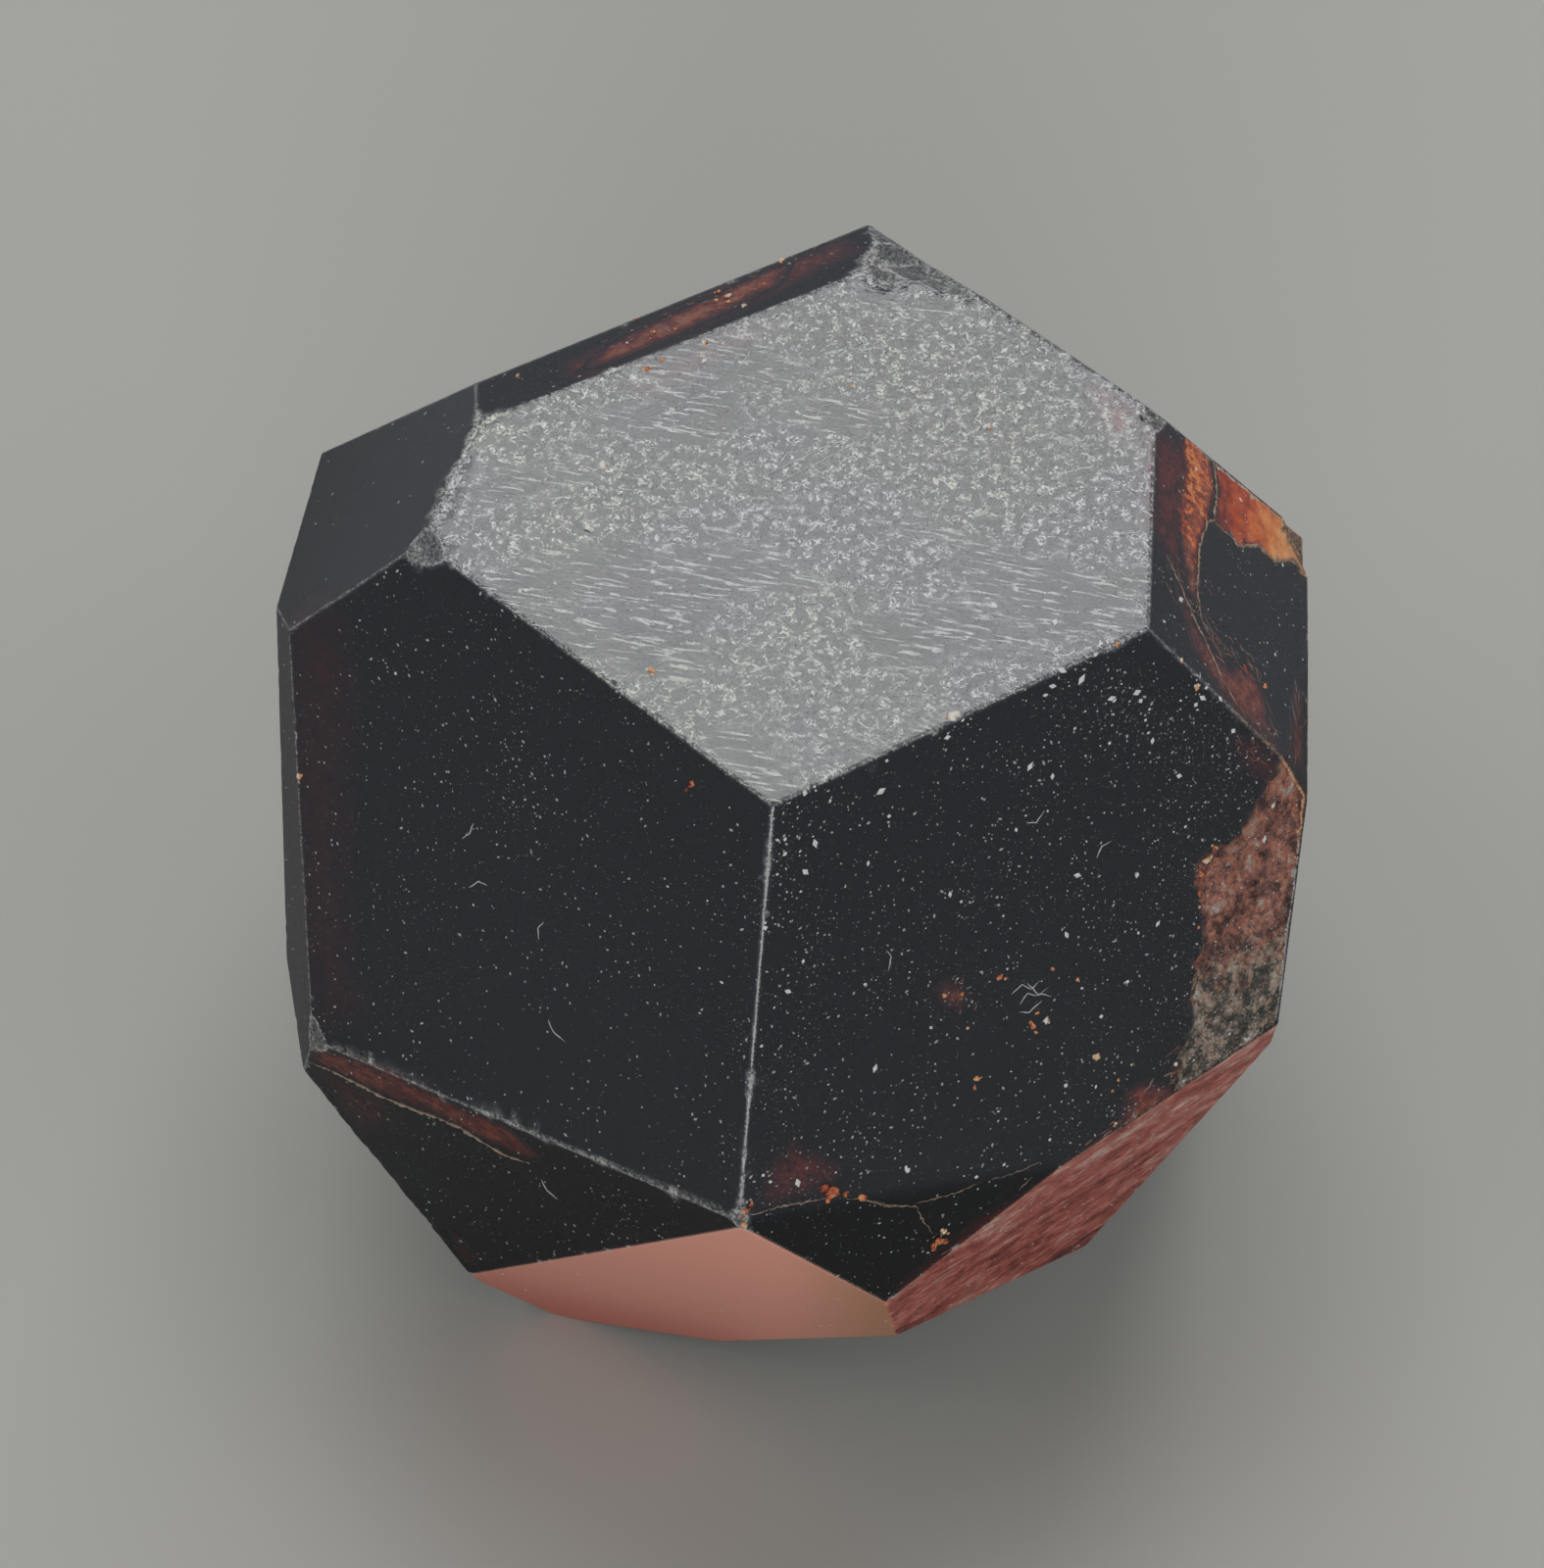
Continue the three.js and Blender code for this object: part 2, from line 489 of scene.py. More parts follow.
class FineSurface:
    """Covers the flat facets with a net of points that is fine along the sharp edges."""

    def __init__(self, shape, spacing):
        self.shape = shape
        self.spacing = spacing / MM
        self.points = [v.co / MM for v in shape.verts]
        self.triangles = []
        self.chipped = set()
        self.along = {e.index: self.split(e) for e in shape.edges}
        for face in shape.faces:
            self.fill(face)

    def split(self, edge):
        """Point numbers along an edge, from its first corner to its last."""
        start, end = edge.verts
        steps = max(1, round(edge.calc_length() / MM / self.spacing))
        numbers = [start.index]
        for i in range(1, steps):
            numbers.append(len(self.points))
            self.points.append(start.co.lerp(end.co, i / steps) / MM)
        return [*numbers, end.index]

    def outline(self, face):
        numbers = []
        for loop in face.loops:
            run = self.along[loop.edge.index]
            numbers += run[:-1] if run[0] == loop.vert.index else run[:0:-1]
        return numbers

    def inner_points(self, face, flat_outline, origin, right, up):
        """Flat places inside a facet: rows along its sharp edges, then a wider and wider grid."""
        starts, ends, found = flat_outline, np.roll(flat_outline, -1, axis=0), []
        patch = self.patch_on(face, origin, right, up)
        for loop in face.loops:
            if not is_sharp(loop.edge):
                continue
            run = np.array([self.points[i] for i in self.along[loop.edge.index]]) - origin
            run = np.stack([run @ right, run @ up], 1)
            inward = np.array([-(run[-1] - run[0])[1], (run[-1] - run[0])[0]])
            inward /= np.linalg.norm(inward)
            if loop.vert.index != self.along[loop.edge.index][0]:
                inward = -inward
            middles = (run[:-1] + run[1:]) / 2
            for i, row in enumerate(ROWS):
                found.append((run[1:-1] if i % 2 else middles) + inward * row)
        low, high = flat_outline.min(0), flat_outline.max(0)
        for step, nearest, farthest in (*LEVELS, (PATCH_STEP, RIM_GAP, None)):
            if farthest is None and patch is None:
                continue
            grid = staggered(low, high, step)
            away = distance_to(grid, starts, ends).min(1)
            wanted = (away >= nearest) & (away < (farthest or FAR))
            if patch is not None:
                within = depth_within(grid, patch) > -PATCH_RIM
                wanted &= within if farthest is None else ~within | (away < RIM_GAP)
            found.append(grid[wanted])
        grid = np.vstack(found)
        clear = distance_to(grid, starts, ends).min(1) > LEAST_GAP
        return grid[clear & inside(grid, flat_outline)]

    @staticmethod
    def patch_on(face, origin, right, up):
        """The outline of the stained patch on a facet, in that facet's own flat places."""
        for name, outline in FINE_NET:
            facet = FACETS[name]
            if facet.normal.dot(face.normal) > SAME_FACE:
                corners = np.array([facet.at(*corner) for corner in outline]) / MM - origin
                return np.stack([corners @ right, corners @ up], 1)
        return None

    def fill(self, face):
        """Triangulates one facet with its inner points."""
        numbers = self.outline(face)
        corners = np.array([self.points[i] for i in numbers])
        normal = np.array(face.normal)
        origin = corners[0]
        right = np.cross(normal, SLANTED)
        right /= np.linalg.norm(right)
        up = np.cross(normal, right)
        flat = np.stack([(corners - origin) @ right, (corners - origin) @ up], 1)
        inner = self.inner_points(face, flat, origin, right, up)
        places = [Vector(p) for p in np.vstack([flat, inner])]
        ring = list(range(len(flat)))
        cut = delaunay_2d_cdt(places, [], [ring], 1, ONE_PLACE)
        first = len(self.points)
        for u, v in inner:
            self.points.append(Vector(origin + right * u + up * v))
        known = {}
        for new, old in enumerate(cut[3]):
            known[new] = old[0] if old else None
        for triangle in cut[2]:
            old = [known[i] for i in triangle]
            if None in old or len(set(old)) < 3:
                continue
            made = [numbers[i] if i < len(numbers) else first + i - len(numbers) for i in old]
            self.triangles.append(made)
            if face.calc_area() < SCOOP_AREA and not in_facet(face.normal):
                self.chipped.update(made)


def waves(points, scale, seed, detail=3):
    """Soft noise from -1 to 1 at each point, for a scale given for each mm."""
    shift = Vector((seed * 3.7, seed * 1.9, seed * 5.3))
    return np.array([noise.fractal(Vector(p) * scale + shift, 1.0, 2.0, detail) for p in points])


def smooth_step(values, low, high):
    share = np.clip((values - low) / (high - low), 0, 1)
    return share * share * (3 - 2 * share)


WIDTHS = (0.03, 0.9)  # mm, narrowest and widest worn strip
MOST_WORN = 0.55  # mm that wear may move a point
WHITE_MORE = (1.3, 0.03)  # the white strip is this much wider, and this many mm
BATCH = 4000  # points worked out at a time, to spare memory


def edge_wear(points, sharp, sizes):
    """How far each point is worn away, how bruised it is and how wide the wear is there."""
    starts = np.array([e.verts[0].co / MM for e in sharp])
    ends = np.array([e.verts[1].co / MM for e in sharp])
    inward = []
    for edge in sharp:
        inward.append(-(edge.link_faces[0].normal + edge.link_faces[1].normal).normalized())
    inward = np.array(inward)
    lean = np.array([math.cos((math.pi - e.calc_face_angle()) / 2) for e in sharp])

    narrow = sizes.wear / MM
    width = narrow * (1 + 0.8 * waves(points, 2.3, sizes.seed))
    notches = smooth_step(waves(points, 1.7, sizes.seed + 1, 4), 0.36, 0.8)
    width = width + notches * sizes.chips / MM
    for name, right, up, reach, more in BRUISES:
        middle = np.array(FACETS[name].at(right, up)) / MM
        near = 1 - smooth_step(np.linalg.norm(points - middle, axis=1), 0.3 * reach, reach)
        ragged = 0.55 + 0.9 * np.clip(waves(points, 2.2, sizes.seed + 2, 4) + 0.25, -0.5, 1)
        width = width + near * more * ragged
    width = np.clip(width, *WIDTHS)

    moved = np.zeros_like(points)
    bruised = np.zeros(len(points))
    for i in range(0, len(points), BATCH):
        part = slice(i, i + BATCH)
        away = distance_to(points[part], starts, ends)
        share = np.clip(1 - away / width[part, None], 0, 1)
        moved[part] = (share * width[part, None] * lean[None]) @ inward
        white = width[part] * WHITE_MORE[0] + WHITE_MORE[1]
        bruised[part] = np.clip(1 - away.min(1) / white, 0, 1)
    size = np.linalg.norm(moved, axis=1, keepdims=True)
    moved *= np.minimum(1, MOST_WORN / np.maximum(size, 1e-9))
    return moved, bruised, width


def write_attribute(mesh, name, values):
    data = mesh.attributes.new(name, "FLOAT", "POINT").data
    data.foreach_set("value", np.ascontiguousarray(values, np.float32))


ON_PLANE = 0.01  # mm from a facet's plane within which a point lies on it
PATCH_FADE = 0.3  # mm over which a stained patch sets in


def flat_places(points, name):
    """Each point's place on a facet, and whether it lies in the facet's plane."""
    facet = FACETS[name]
    offset = points - np.array(facet.middle) / MM
    flat = np.stack([offset @ np.array(facet.right), offset @ np.array(facet.up)], 1)
    return flat, np.abs(offset @ np.array(facet.normal)) < ON_PLANE


def patch_mask(points, patch, seed):
    """1 within a patch on its facet and 0 outside, with a ragged edge."""
    name, outline = patch
    flat, on_facet = flat_places(points, name)
    found = np.zeros(len(points))
    near = np.flatnonzero(on_facet)
    ragged = 0.25 * waves(points[near], 1.1, seed) + 0.18 * waves(points[near], 3.1, seed + 1)
    found[near] = smooth_step(depth_within(flat[near], outline) + ragged, 0, PATCH_FADE)
    return found


CHIP_BRUISE = 0.3  # how white the hollow of a chip is
BRUISE_UNDER_REFLECTION = 0.2  # how much of the bruising shows through the painted reflection
WHITE_FROM = (0.06, 0.4)  # mm of wear at which an edge begins to be white, and is all white
LIP_HEIGHT = 0.03  # mm that the rim of the pitted patch stands proud
OCHRE_DEPTH = 0.1  # mm that the ochre patch lies deeper
BARE_DUST = 0.12  # dust on a facet that no table names
TRAIL_DUST, TRAIL_FLAKES = 1.1, 4.0  # added in the middle of a trail


def crystal_mesh(sizes):
    """The crystal's whole surface with worn edges, chips and the pitted patch."""
    net = FineSurface(SHAPE, sizes.spacing)
    points = np.array(net.points)
    sharp = [e for e in SHAPE.edges if is_sharp(e)]
    moved, bruised, width = edge_wear(points, sharp, sizes)

    scooped = np.zeros(len(points))
    scooped[list(net.chipped)] = CHIP_BRUISE
    pitted = patch_mask(points, PITTED, 21)
    ochre = patch_mask(points, OCHRE, 31)
    inward = -np.array(FACETS["front_right"].normal)
    pits = 0.55 + 0.7 * waves(points, 0.9, 23, 5)
    lip = 4 * pitted * (1 - pitted)
    moved += inward[None] * (pitted * np.clip(pits, 0, 2) * sizes.pitting / MM)[:, None]
    moved -= inward[None] * (LIP_HEIGHT * lip)[:, None]
    inward = -np.array(FACETS["right_cap"].normal)
    depth = OCHRE_DEPTH + 0.05 * waves(points, 1.5, 25)
    moved += inward[None] * (ochre * depth)[:, None]

    mesh = bpy.data.meshes.new("crystal_body")
    mesh.from_pydata(((points + moved) * MM).tolist(), [], net.triangles)
    mesh.update()
    mesh.shade_smooth()
    # Faces with the painted pink-brown reflection, which is streaked on the low right bevel
    film = sum(flat_places(points, name)[1] * share for name, share in REFLECTION_COVER.items())
    bruised *= np.where(film > 0, BRUISE_UNDER_REFLECTION, 1.0)
    worn = bruised * smooth_step(width, *WHITE_FROM)
    attributes = {
        "bruised": np.maximum(worn, scooped),
        "edge": bruised,
        "pitted": pitted,
        "lip": lip,
        "ochre": ochre,
        "band": patch_mask(points, BAND, 41),
        "film": film,
        "streaked": flat_places(points, "low_right_bevel")[1],
        "etched": flat_places(points, "top")[1],
        "crowd": crowd(points, BARE_DUST, DUSTY, DUST_TRAILS, TRAIL_DUST),
        "flaky": crowd(points, 0.0, FLAKY, FLAKE_TRAILS, TRAIL_FLAKES),
    }
    for name, values in attributes.items():
        write_attribute(mesh, name, values)
    return mesh


# How much dust lies on a facet, from 0 to 1
DUSTY = {
    "top": 0.4, "front_right": 1.0, "front_left": 0.5, "right_cap": 0.5, "left_cap": 0.12,
    "front_left_bevel": 0.4, "front_right_bevel": 0.5, "top_back_bevel": 0.3,
    "low_right_bevel": 0.3, "back_right": 0.3,
}
# Lines along which dust is thicker: facet, from, to and reach, in mm
DUST_TRAILS = (
    ("front_left", -3.2, 10.0, -1.6, 5.0, 0.8),
    ("front_left", -1.6, 5.0, 0.3, 0.4, 0.7),
    ("front_left", 8.6, 8.5, 12.2, -2.5, 0.7),
    ("front_right", -7.6, 9.0, -8.6, -3.0, 0.9),
    ("front_right", 6.0, 10.0, 10.0, 4.0, 1.4),
)
# How many pale flakes lie on a facet, where 1 is as on the etched face, and their trails
FLAKY = {"top": 1.0, "front_right": 1.1, "front_left": 0.12, "right_cap": 0.5}
FLAKE_TRAILS = (
    ("front_right", -7.9, 11.6, -9.2, 4.8, 3.2),
    ("front_right", -7.6, 11.4, -7.0, 8.0, 2.0),
    ("front_right", -7.9, 11.6, -9.6, 3.0, 0.6),
    ("front_right", -7.0, 11.6, 7.3, 11.5, 1.8),
    ("front_right", 3.0, 9.0, 9.5, 8.0, 3.0),
)


def crowd(points, least, shares, trails, more):
    """How many grains lie at each point: a share for each facet, and more along trails."""
    found = np.full(len(points), least)
    for name, share in shares.items():
        found[flat_places(points, name)[1]] = share
    for name, x0, y0, x1, y1, reach in trails:
        flat, on_facet = flat_places(points, name)
        away = distance_to(flat, np.array([[x0, y0]]), np.array([[x1, y1]]))[:, 0]
        found += np.where(on_facet, np.clip(1 - away / reach, 0, 1), 0) * more
    return found


def linked(name, data):
    """A new object in the scene."""
    made = bpy.data.objects.new(name, data)
    bpy.context.scene.collection.objects.link(made)
    return made


def add_piece(name, mesh, material=None):
    """Adds a finished piece, which rides on the crystal's body."""
    if material:
        mesh.materials.append(material)
    made = linked(name, mesh)
    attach(made, BODY)
    return made


# ---------------------------------------------------------------- finishes


def etched_strokes(net):
    """Fine curling strokes, drawn out to streaks in places, as natural etching leaves them."""
    curls = net.cloud(net.place((0.33, 0.27, 0.25)), 1.0, 1.0, 0.5, 1.4)
    cut = net.cloud(net.place((0.42, 0.42, 0.42), shift=7.7), 1.0, 2.0).above(0.42, 0.56)
    streaks = net.cloud(net.place((1.0, 0.14, 1), (0, 0, -4)), 1.0, 2.0, 0.5, 0.7)
    drawn = net.cloud(net.place((7, 5, 5), shift=3.3), 1.0, 2.0).above(0.5, 0.6)
    curls = (1.15 - (curls - 0.5).math("ABSOLUTE") * 12).clamped() * cut
    streaks = streaks.above(0.53, 0.64)
    return (curls * (1 - drawn) + streaks * drawn * 0.7).clamped()


def stain_colours(net, look, high):
    """Mottled stain of the pitted patch, brown to orange above and grey below. Its palest stops
    give pale spots that are partly grey stain and partly painted highlights.
    """
    mottled = net.cloud(net.place((1.1, 1.1, 1.6), (0, 18, 0)), 1.0, 5, 0.78, 0.4)
    dark = [part * 0.12 for part in look.brown]
    fine = net.cloud(net.place((0.3, 0.3, 0.36), shift=5.1), 1.0, 3, 0.75)
    mottled = mottled * 0.6 + fine * 0.4
    # Both ramps end in pale stops: spots that are partly grey stain and partly painted highlights
    brown = net.ramp(mottled, (
        (0.36, dark), (0.45, [part * 0.5 for part in look.brown]), (0.5, look.brown),
        (0.55, (0.5, 0.17, 0.095)), (0.6, (0.34, 0.29, 0.25)), (0.68, (0.75, 0.72, 0.66)),
    ))
    grey = net.ramp(mottled, (
        (0.38, (0.01, 0.012, 0.011)), (0.48, [part * 0.5 for part in look.grey]),
        (0.54, (0.34, 0.25, 0.19)), (0.6, (0.44, 0.39, 0.32)), (0.68, (0.75, 0.73, 0.66)),
    ))
    return net.blend(high, grey, brown)


# Painted reflection colours: redder low on the left of the front face, tan to the right
REFLECTION_LOW_LEFT, REFLECTION_RIGHT = (0.6, 0.2, 0.15), (0.5, 0.25, 0.14)
REFLECTION_PALER_ABOVE = 1.28  # how much paler the painted reflection is higher up


def painted_reflection_colours(net, look, across, upper):
    """Painted pink-brown reflection, plain on the front and streaked with red and brown low on the
    right.
    """
    along = net.cloud(net.place((3.0, 1.5, 1.3), (0, 0, 39)), 1.0, 4, 0.66, 0.8)
    fine = net.cloud(net.place((0.6, 0.4, 0.36), (0, 0, 39), 2.2), 1.0, 3, 0.75)
    streaked = net.ramp(along * 0.65 + fine * 0.35 + upper.above(14.0, 24.0) * 0.06, (
        (0.36, (0.1, 0.022, 0.018)), (0.47, (0.44, 0.1, 0.07)), (0.53, (0.6, 0.17, 0.13)),
        (0.6, (0.68, 0.31, 0.25)), (0.67, (0.85, 0.58, 0.48)),
    ))
    reflection_above = [min(part * REFLECTION_PALER_ABOVE, 1) for part in look.film]
    plain = net.blend(upper.above(8.0, 25.0), look.film, reflection_above)
    plain = net.blend(upper.above(11.0, 0.0) * across.above(5.0, -1.0), plain, REFLECTION_LOW_LEFT)
    plain = net.blend(across.above(1.0, 7.0), plain, REFLECTION_RIGHT)
    return net.blend(net.attribute("streaked"), plain, streaked)


ORANGE_TIP = (0.85, 0.47, 0.24)  # crushed garnet in the stained corner on the right
WARM, COOL = (0.98, 0.99, 0.92), (0.97, 0.98, 1.05)  # tints of the etched face
BARE_GLOSS, INNER_GLOSS = 0.015, 0.02  # roughness of polished garnet, outside and inside
POWDERED = 0.012  # how much of the bare garnet is dulled by powder
RELIEF = (0.7, 0.00012)  # strength and depth in metres of the fine relief


def garnet_material(look):
    """Dark red see-through garnet, with bruised edges, an etched top and stained patches."""
    material, net, out = new_material("garnet")
    place = net.place()
    bruised, edge = net.attribute("bruised"), net.attribute("edge")
    pitted, lip = net.attribute("pitted"), net.attribute("lip")
    ochre, band = net.attribute("ochre"), net.attribute("band")
    film, etched = net.attribute("film"), net.attribute("etched")
    mottled = net.cloud(place, 1.3, 4, 0.72)
    grainy = net.cloud(place, 7.0, 3, 0.8)
    broad = net.cloud(place, 0.16, 2)
    strokes = etched * etched_strokes(net)

    bubbles = net.value("ShaderNodeTexVoronoi", None, {"Vector": place, "Scale": 0.75}, "Distance")
    rings = (bubbles.above(0.16, 0.2) - bubbles.above(0.26, 0.34)) * broad.above(0.46, 0.52)
    height = grainy * (bruised + etched * 0.16 + 0.1)
    rough = grainy * (pitted * 0.5 + bruised + 0.1) + (rings * 0.9 + mottled * 3.0) * pitted

    haze = etched * broad.above(0.35, 0.7)
    white = (bruised * 1.2 + edge * 0.55) * (grainy.above(0.38, 0.62) * 0.85 + 0.15)
    raised = strokes * (grainy.above(0.3, 0.6) * 0.45 + 0.34) + haze * 0.04
    brown = pitted * 0.94
    rust = ochre * (mottled.above(0.2, 0.6) * 0.25 + 0.72)
    flecks = net.cloud(net.place((0.4, 0.4, 0.7), shift=9.1), 1.0, 4, 0.8)
    rust = rust.largest(band * flecks.above(0.36, 0.56) * 0.88)
    # The painted reflection thins in places on the low right bevel
    bare = film * net.attribute("streaked") * mottled.above(0.6, 0.4) * 0.3
    across, upper = net.part(place, "X"), net.part(place, "Z")
    high = (upper + mottled * 9 - 4.5).above(24.5, 27.5)
    rightmost = across.above(15.0, 19.5)
    gold = band * (flecks.above(0.4, 0.62) * 0.3 + 0.02)
    rusty = net.ramp(mottled * 0.5 + rightmost * 0.42 + gold, (
        (0.25, (0.3, 0.04, 0.025)), (0.42, (0.75, 0.14, 0.045)), (0.58, (0.95, 0.36, 0.11)),
        (0.75, (0.98, 0.62, 0.33)),
    ))
    # A painted pink-brown reflection takes the place of the powder colour on the lower front faces
    skin = net.blend(film.above(0.0, 0.05), look.powder, painted_reflection_colours(net, look, across, upper))
    skin = net.blend(pitted.above(0.0, 0.05), skin, stain_colours(net, look, high))
    skin = net.blend(rust.above(0.0, 0.05), skin, rusty)
    tip = rightmost * upper.above(28.0, 30.0)
    crushed = net.blend(tip, look.crushed, ORANGE_TIP)
    skin = net.blend(white.above(0.05, 0.2), skin, crushed)
    tone = net.cloud(net.place((9, 7, 7), shift=2.2), 1.0, 1.0).above(0.42, 0.58)
    warm, cool = ([a * b for a, b in zip(look.etched, tint)] for tint in (WARM, COOL))
    skin = net.blend(raised.above(0.01, 0.05), skin, net.blend(tone, warm, cool))

    see_through = {"Base Color": (1, 1, 1, 1), "IOR": look.ior, "Transmission Weight": 1.0}
    clear = shell(net, {
        **see_through,
        "Roughness": haze * 0.1 + strokes * 0.15 + BARE_GLOSS,
        "Normal": net.bump(height, *RELIEF),
    })
    opaque = shell(net, {
        "Base Color": skin,
        "Roughness": white * 0.4 + (1 - pitted) * 0.12 + 0.17,
        "Normal": net.bump(rough + strokes * 0.12, *RELIEF),
    })
    powder = net.node("ShaderNodeBsdfDiffuse", None, {"Color": (*look.powder, 1)}).outputs[0]
    # The painted reflection is opaque, like the stains
    cover = brown.largest(rust).largest(film - bare).largest(white).largest(raised)
    cover = cover.largest(lip * grainy).clamped()
    outside = mixed(net, cover, mixed(net, POWDERED, clear, powder), opaque)
    # Light inside the garnet meets a plain surface, so that no pattern is worked out for it
    within = shell(net, {**see_through, "Roughness": INNER_GLOSS})
    behind = net.node("ShaderNodeNewGeometry").outputs["Backfacing"]
    net.feed(out.inputs["Surface"], mixed(net, behind, outside, within))
    volume = net.node("ShaderNodeVolumeAbsorption", None, {
        "Color": (*look.passed, 1),
        "Density": look.density,
    })
    net.feed(out.inputs["Volume"], volume.outputs[0])
    return material


MINERAL_RELIEF = (0.5, 0.00005)  # strength and depth in metres


def mineral_material():
    """Iron stained mineral in and on the garnet, from black over red and orange to white."""
    if "mineral" in bpy.data.materials:
        return bpy.data.materials["mineral"]
    material, net, out = new_material("mineral")
    place = net.place()
    mottled = net.cloud(place, 1.6, 5, 0.8).above(0.3, 0.66)
    shade = net.attribute("shade") * (mottled * 0.8 + 0.35)
    tint = net.ramp(shade.clamped(), (
        (0.0, (0.004, 0.002, 0.002)), (0.25, (0.16, 0.025, 0.016)), (0.5, (0.6, 0.14, 0.06)),
        (0.7, (0.88, 0.42, 0.16)), (0.86, (0.8, 0.62, 0.42)), (1.0, (0.85, 0.83, 0.8)),
    ))
    normal = net.bump(mottled, *MINERAL_RELIEF)
    surface = shell(net, {"Base Color": tint, "Roughness": 0.55, "Normal": normal})
    net.feed(out.inputs["Surface"], surface)
    return material


# ---------------------------------------------------------------- small pieces


class Pile:
    """Gathers small closed shapes into one mesh, each with its own shade."""

    def __init__(self, seed):
        self.points = []
        self.faces = []
        self.shades = []
        self.random = random.Random(seed)
        body = bpy.data.objects["crystal_body"].data
        corners = [v.co for v in body.vertices]
        self.skin = BVHTree.FromPolygons(corners, [p.vertices for p in body.polygons])

    def add(self, points, faces, shades):
        first = len(self.points)
        self.points += points
        self.faces += [[first + i for i in face] for face in faces]
        self.shades += shades

    def sealed(self, point, deep):
        """Moves a point at least this deep under the crystal's surface."""
        for _ in range(3):
            nearest, normal, _, _ = self.skin.find_nearest(point)
            if (point - nearest).dot(normal) < -deep:
                break
            point = nearest - normal * deep
        return point

    def landed(self, point, high):
        """Moves a point onto the crystal's surface, this high above it."""
        nearest, normal, _, _ = self.skin.find_nearest(point)
        return nearest + normal * high

    def laid(self, name, corners, step, wander, high=0.0):
        """Points along a line of places on a facet, this high above the crystal's surface."""
        flat = smooth_path(corners, step, wander, self.random)
        return [self.landed(FACETS[name].at(*place), high) for place in flat]

    def ball(self, place, size, shade, squash, ragged):
        """A lump, flattened towards the surface it lies on."""
        made = bmesh.new()
        bmesh.ops.create_icosphere(made, subdivisions=2, radius=1.0)
        normal = self.skin.find_nearest(place)[1]
        turn = normal.to_track_quat("Z", "Y").to_matrix()
        turn = turn @ Matrix.Rotation(self.random.uniform(0, math.pi), 3, "Z")
        stretch = Vector((1, self.random.uniform(0.5, 1.1), squash))
        shift = Vector([self.random.uniform(-50, 50) for _ in range(3)])
        points = []
        for v in made.verts:
            broad, fine = noise.noise(v.co * 1.4 + shift), noise.noise(v.co * 4 + shift)
            lumpy = 1 + ragged * broad + 0.4 * fine
            points.append(place + turn @ (v.co * lumpy * size * stretch))
        self.add(points, [[v.index for v in f.verts] for f in made.faces], [shade] * len(points))
        made.free()

    def thread(self, path, thickness, shade, wild=0.3, sides=5):
        """A fibre or a seam along a path, thinner at both ends."""
        points, faces, last = [], [], len(path) - 1
        for i, spot in enumerate(path):
            way = (path[min(i + 1, last)] - path[max(i - 1, 0)]).normalized()
            normal = self.skin.find_nearest(spot)[1]
            across = way.cross(normal).normalized()
            up = across.cross(way)
            taper = min(1.0, 0.35 + 2.5 * min(i, last - i) / max(last, 1))
            radius = thickness / 2 * taper * self.random.uniform(1 - wild, 1 + wild)
            for k in range(sides):
                turn = 2 * math.pi * k / sides
                points.append(spot + (across * math.cos(turn) + up * math.sin(turn)) * radius)
        for i in range(last):
            for k in range(sides):
                a, b = i * sides + k, i * sides + (k + 1) % sides
                faces.append((a, b, b + sides, a + sides))
        faces.append(list(range(sides))[::-1])
        faces.append([last * sides + k for k in range(sides)])
        self.add(points, faces, [shade] * len(points))

    def mesh(self, name):
        mesh = bpy.data.meshes.new(name)
        mesh.from_pydata(self.points, [], self.faces)
        mesh.update()
        made = bmesh.new()
        made.from_mesh(mesh)
        bmesh.ops.recalc_face_normals(made, faces=made.faces)
        made.to_mesh(mesh)
        made.free()
        mesh.shade_smooth()
        write_attribute(mesh, "shade", self.shades)
        return mesh


def smooth_path(corners, step, wander, rng):
    """Points along a line of flat corners, a step apart, with a little wander, in mm."""
    found = []
    for (x0, y0), (x1, y1) in zip(corners, corners[1:]):
        steps = max(1, round(math.hypot(x1 - x0, y1 - y0) / step))
        for i in range(steps):
            share = i / steps
            found.append((x0 + (x1 - x0) * share, y0 + (y1 - y0) * share))
    found.append(corners[-1])
    return [(x + rng.uniform(-wander, wander), y + rng.uniform(-wander, wander)) for x, y in found]


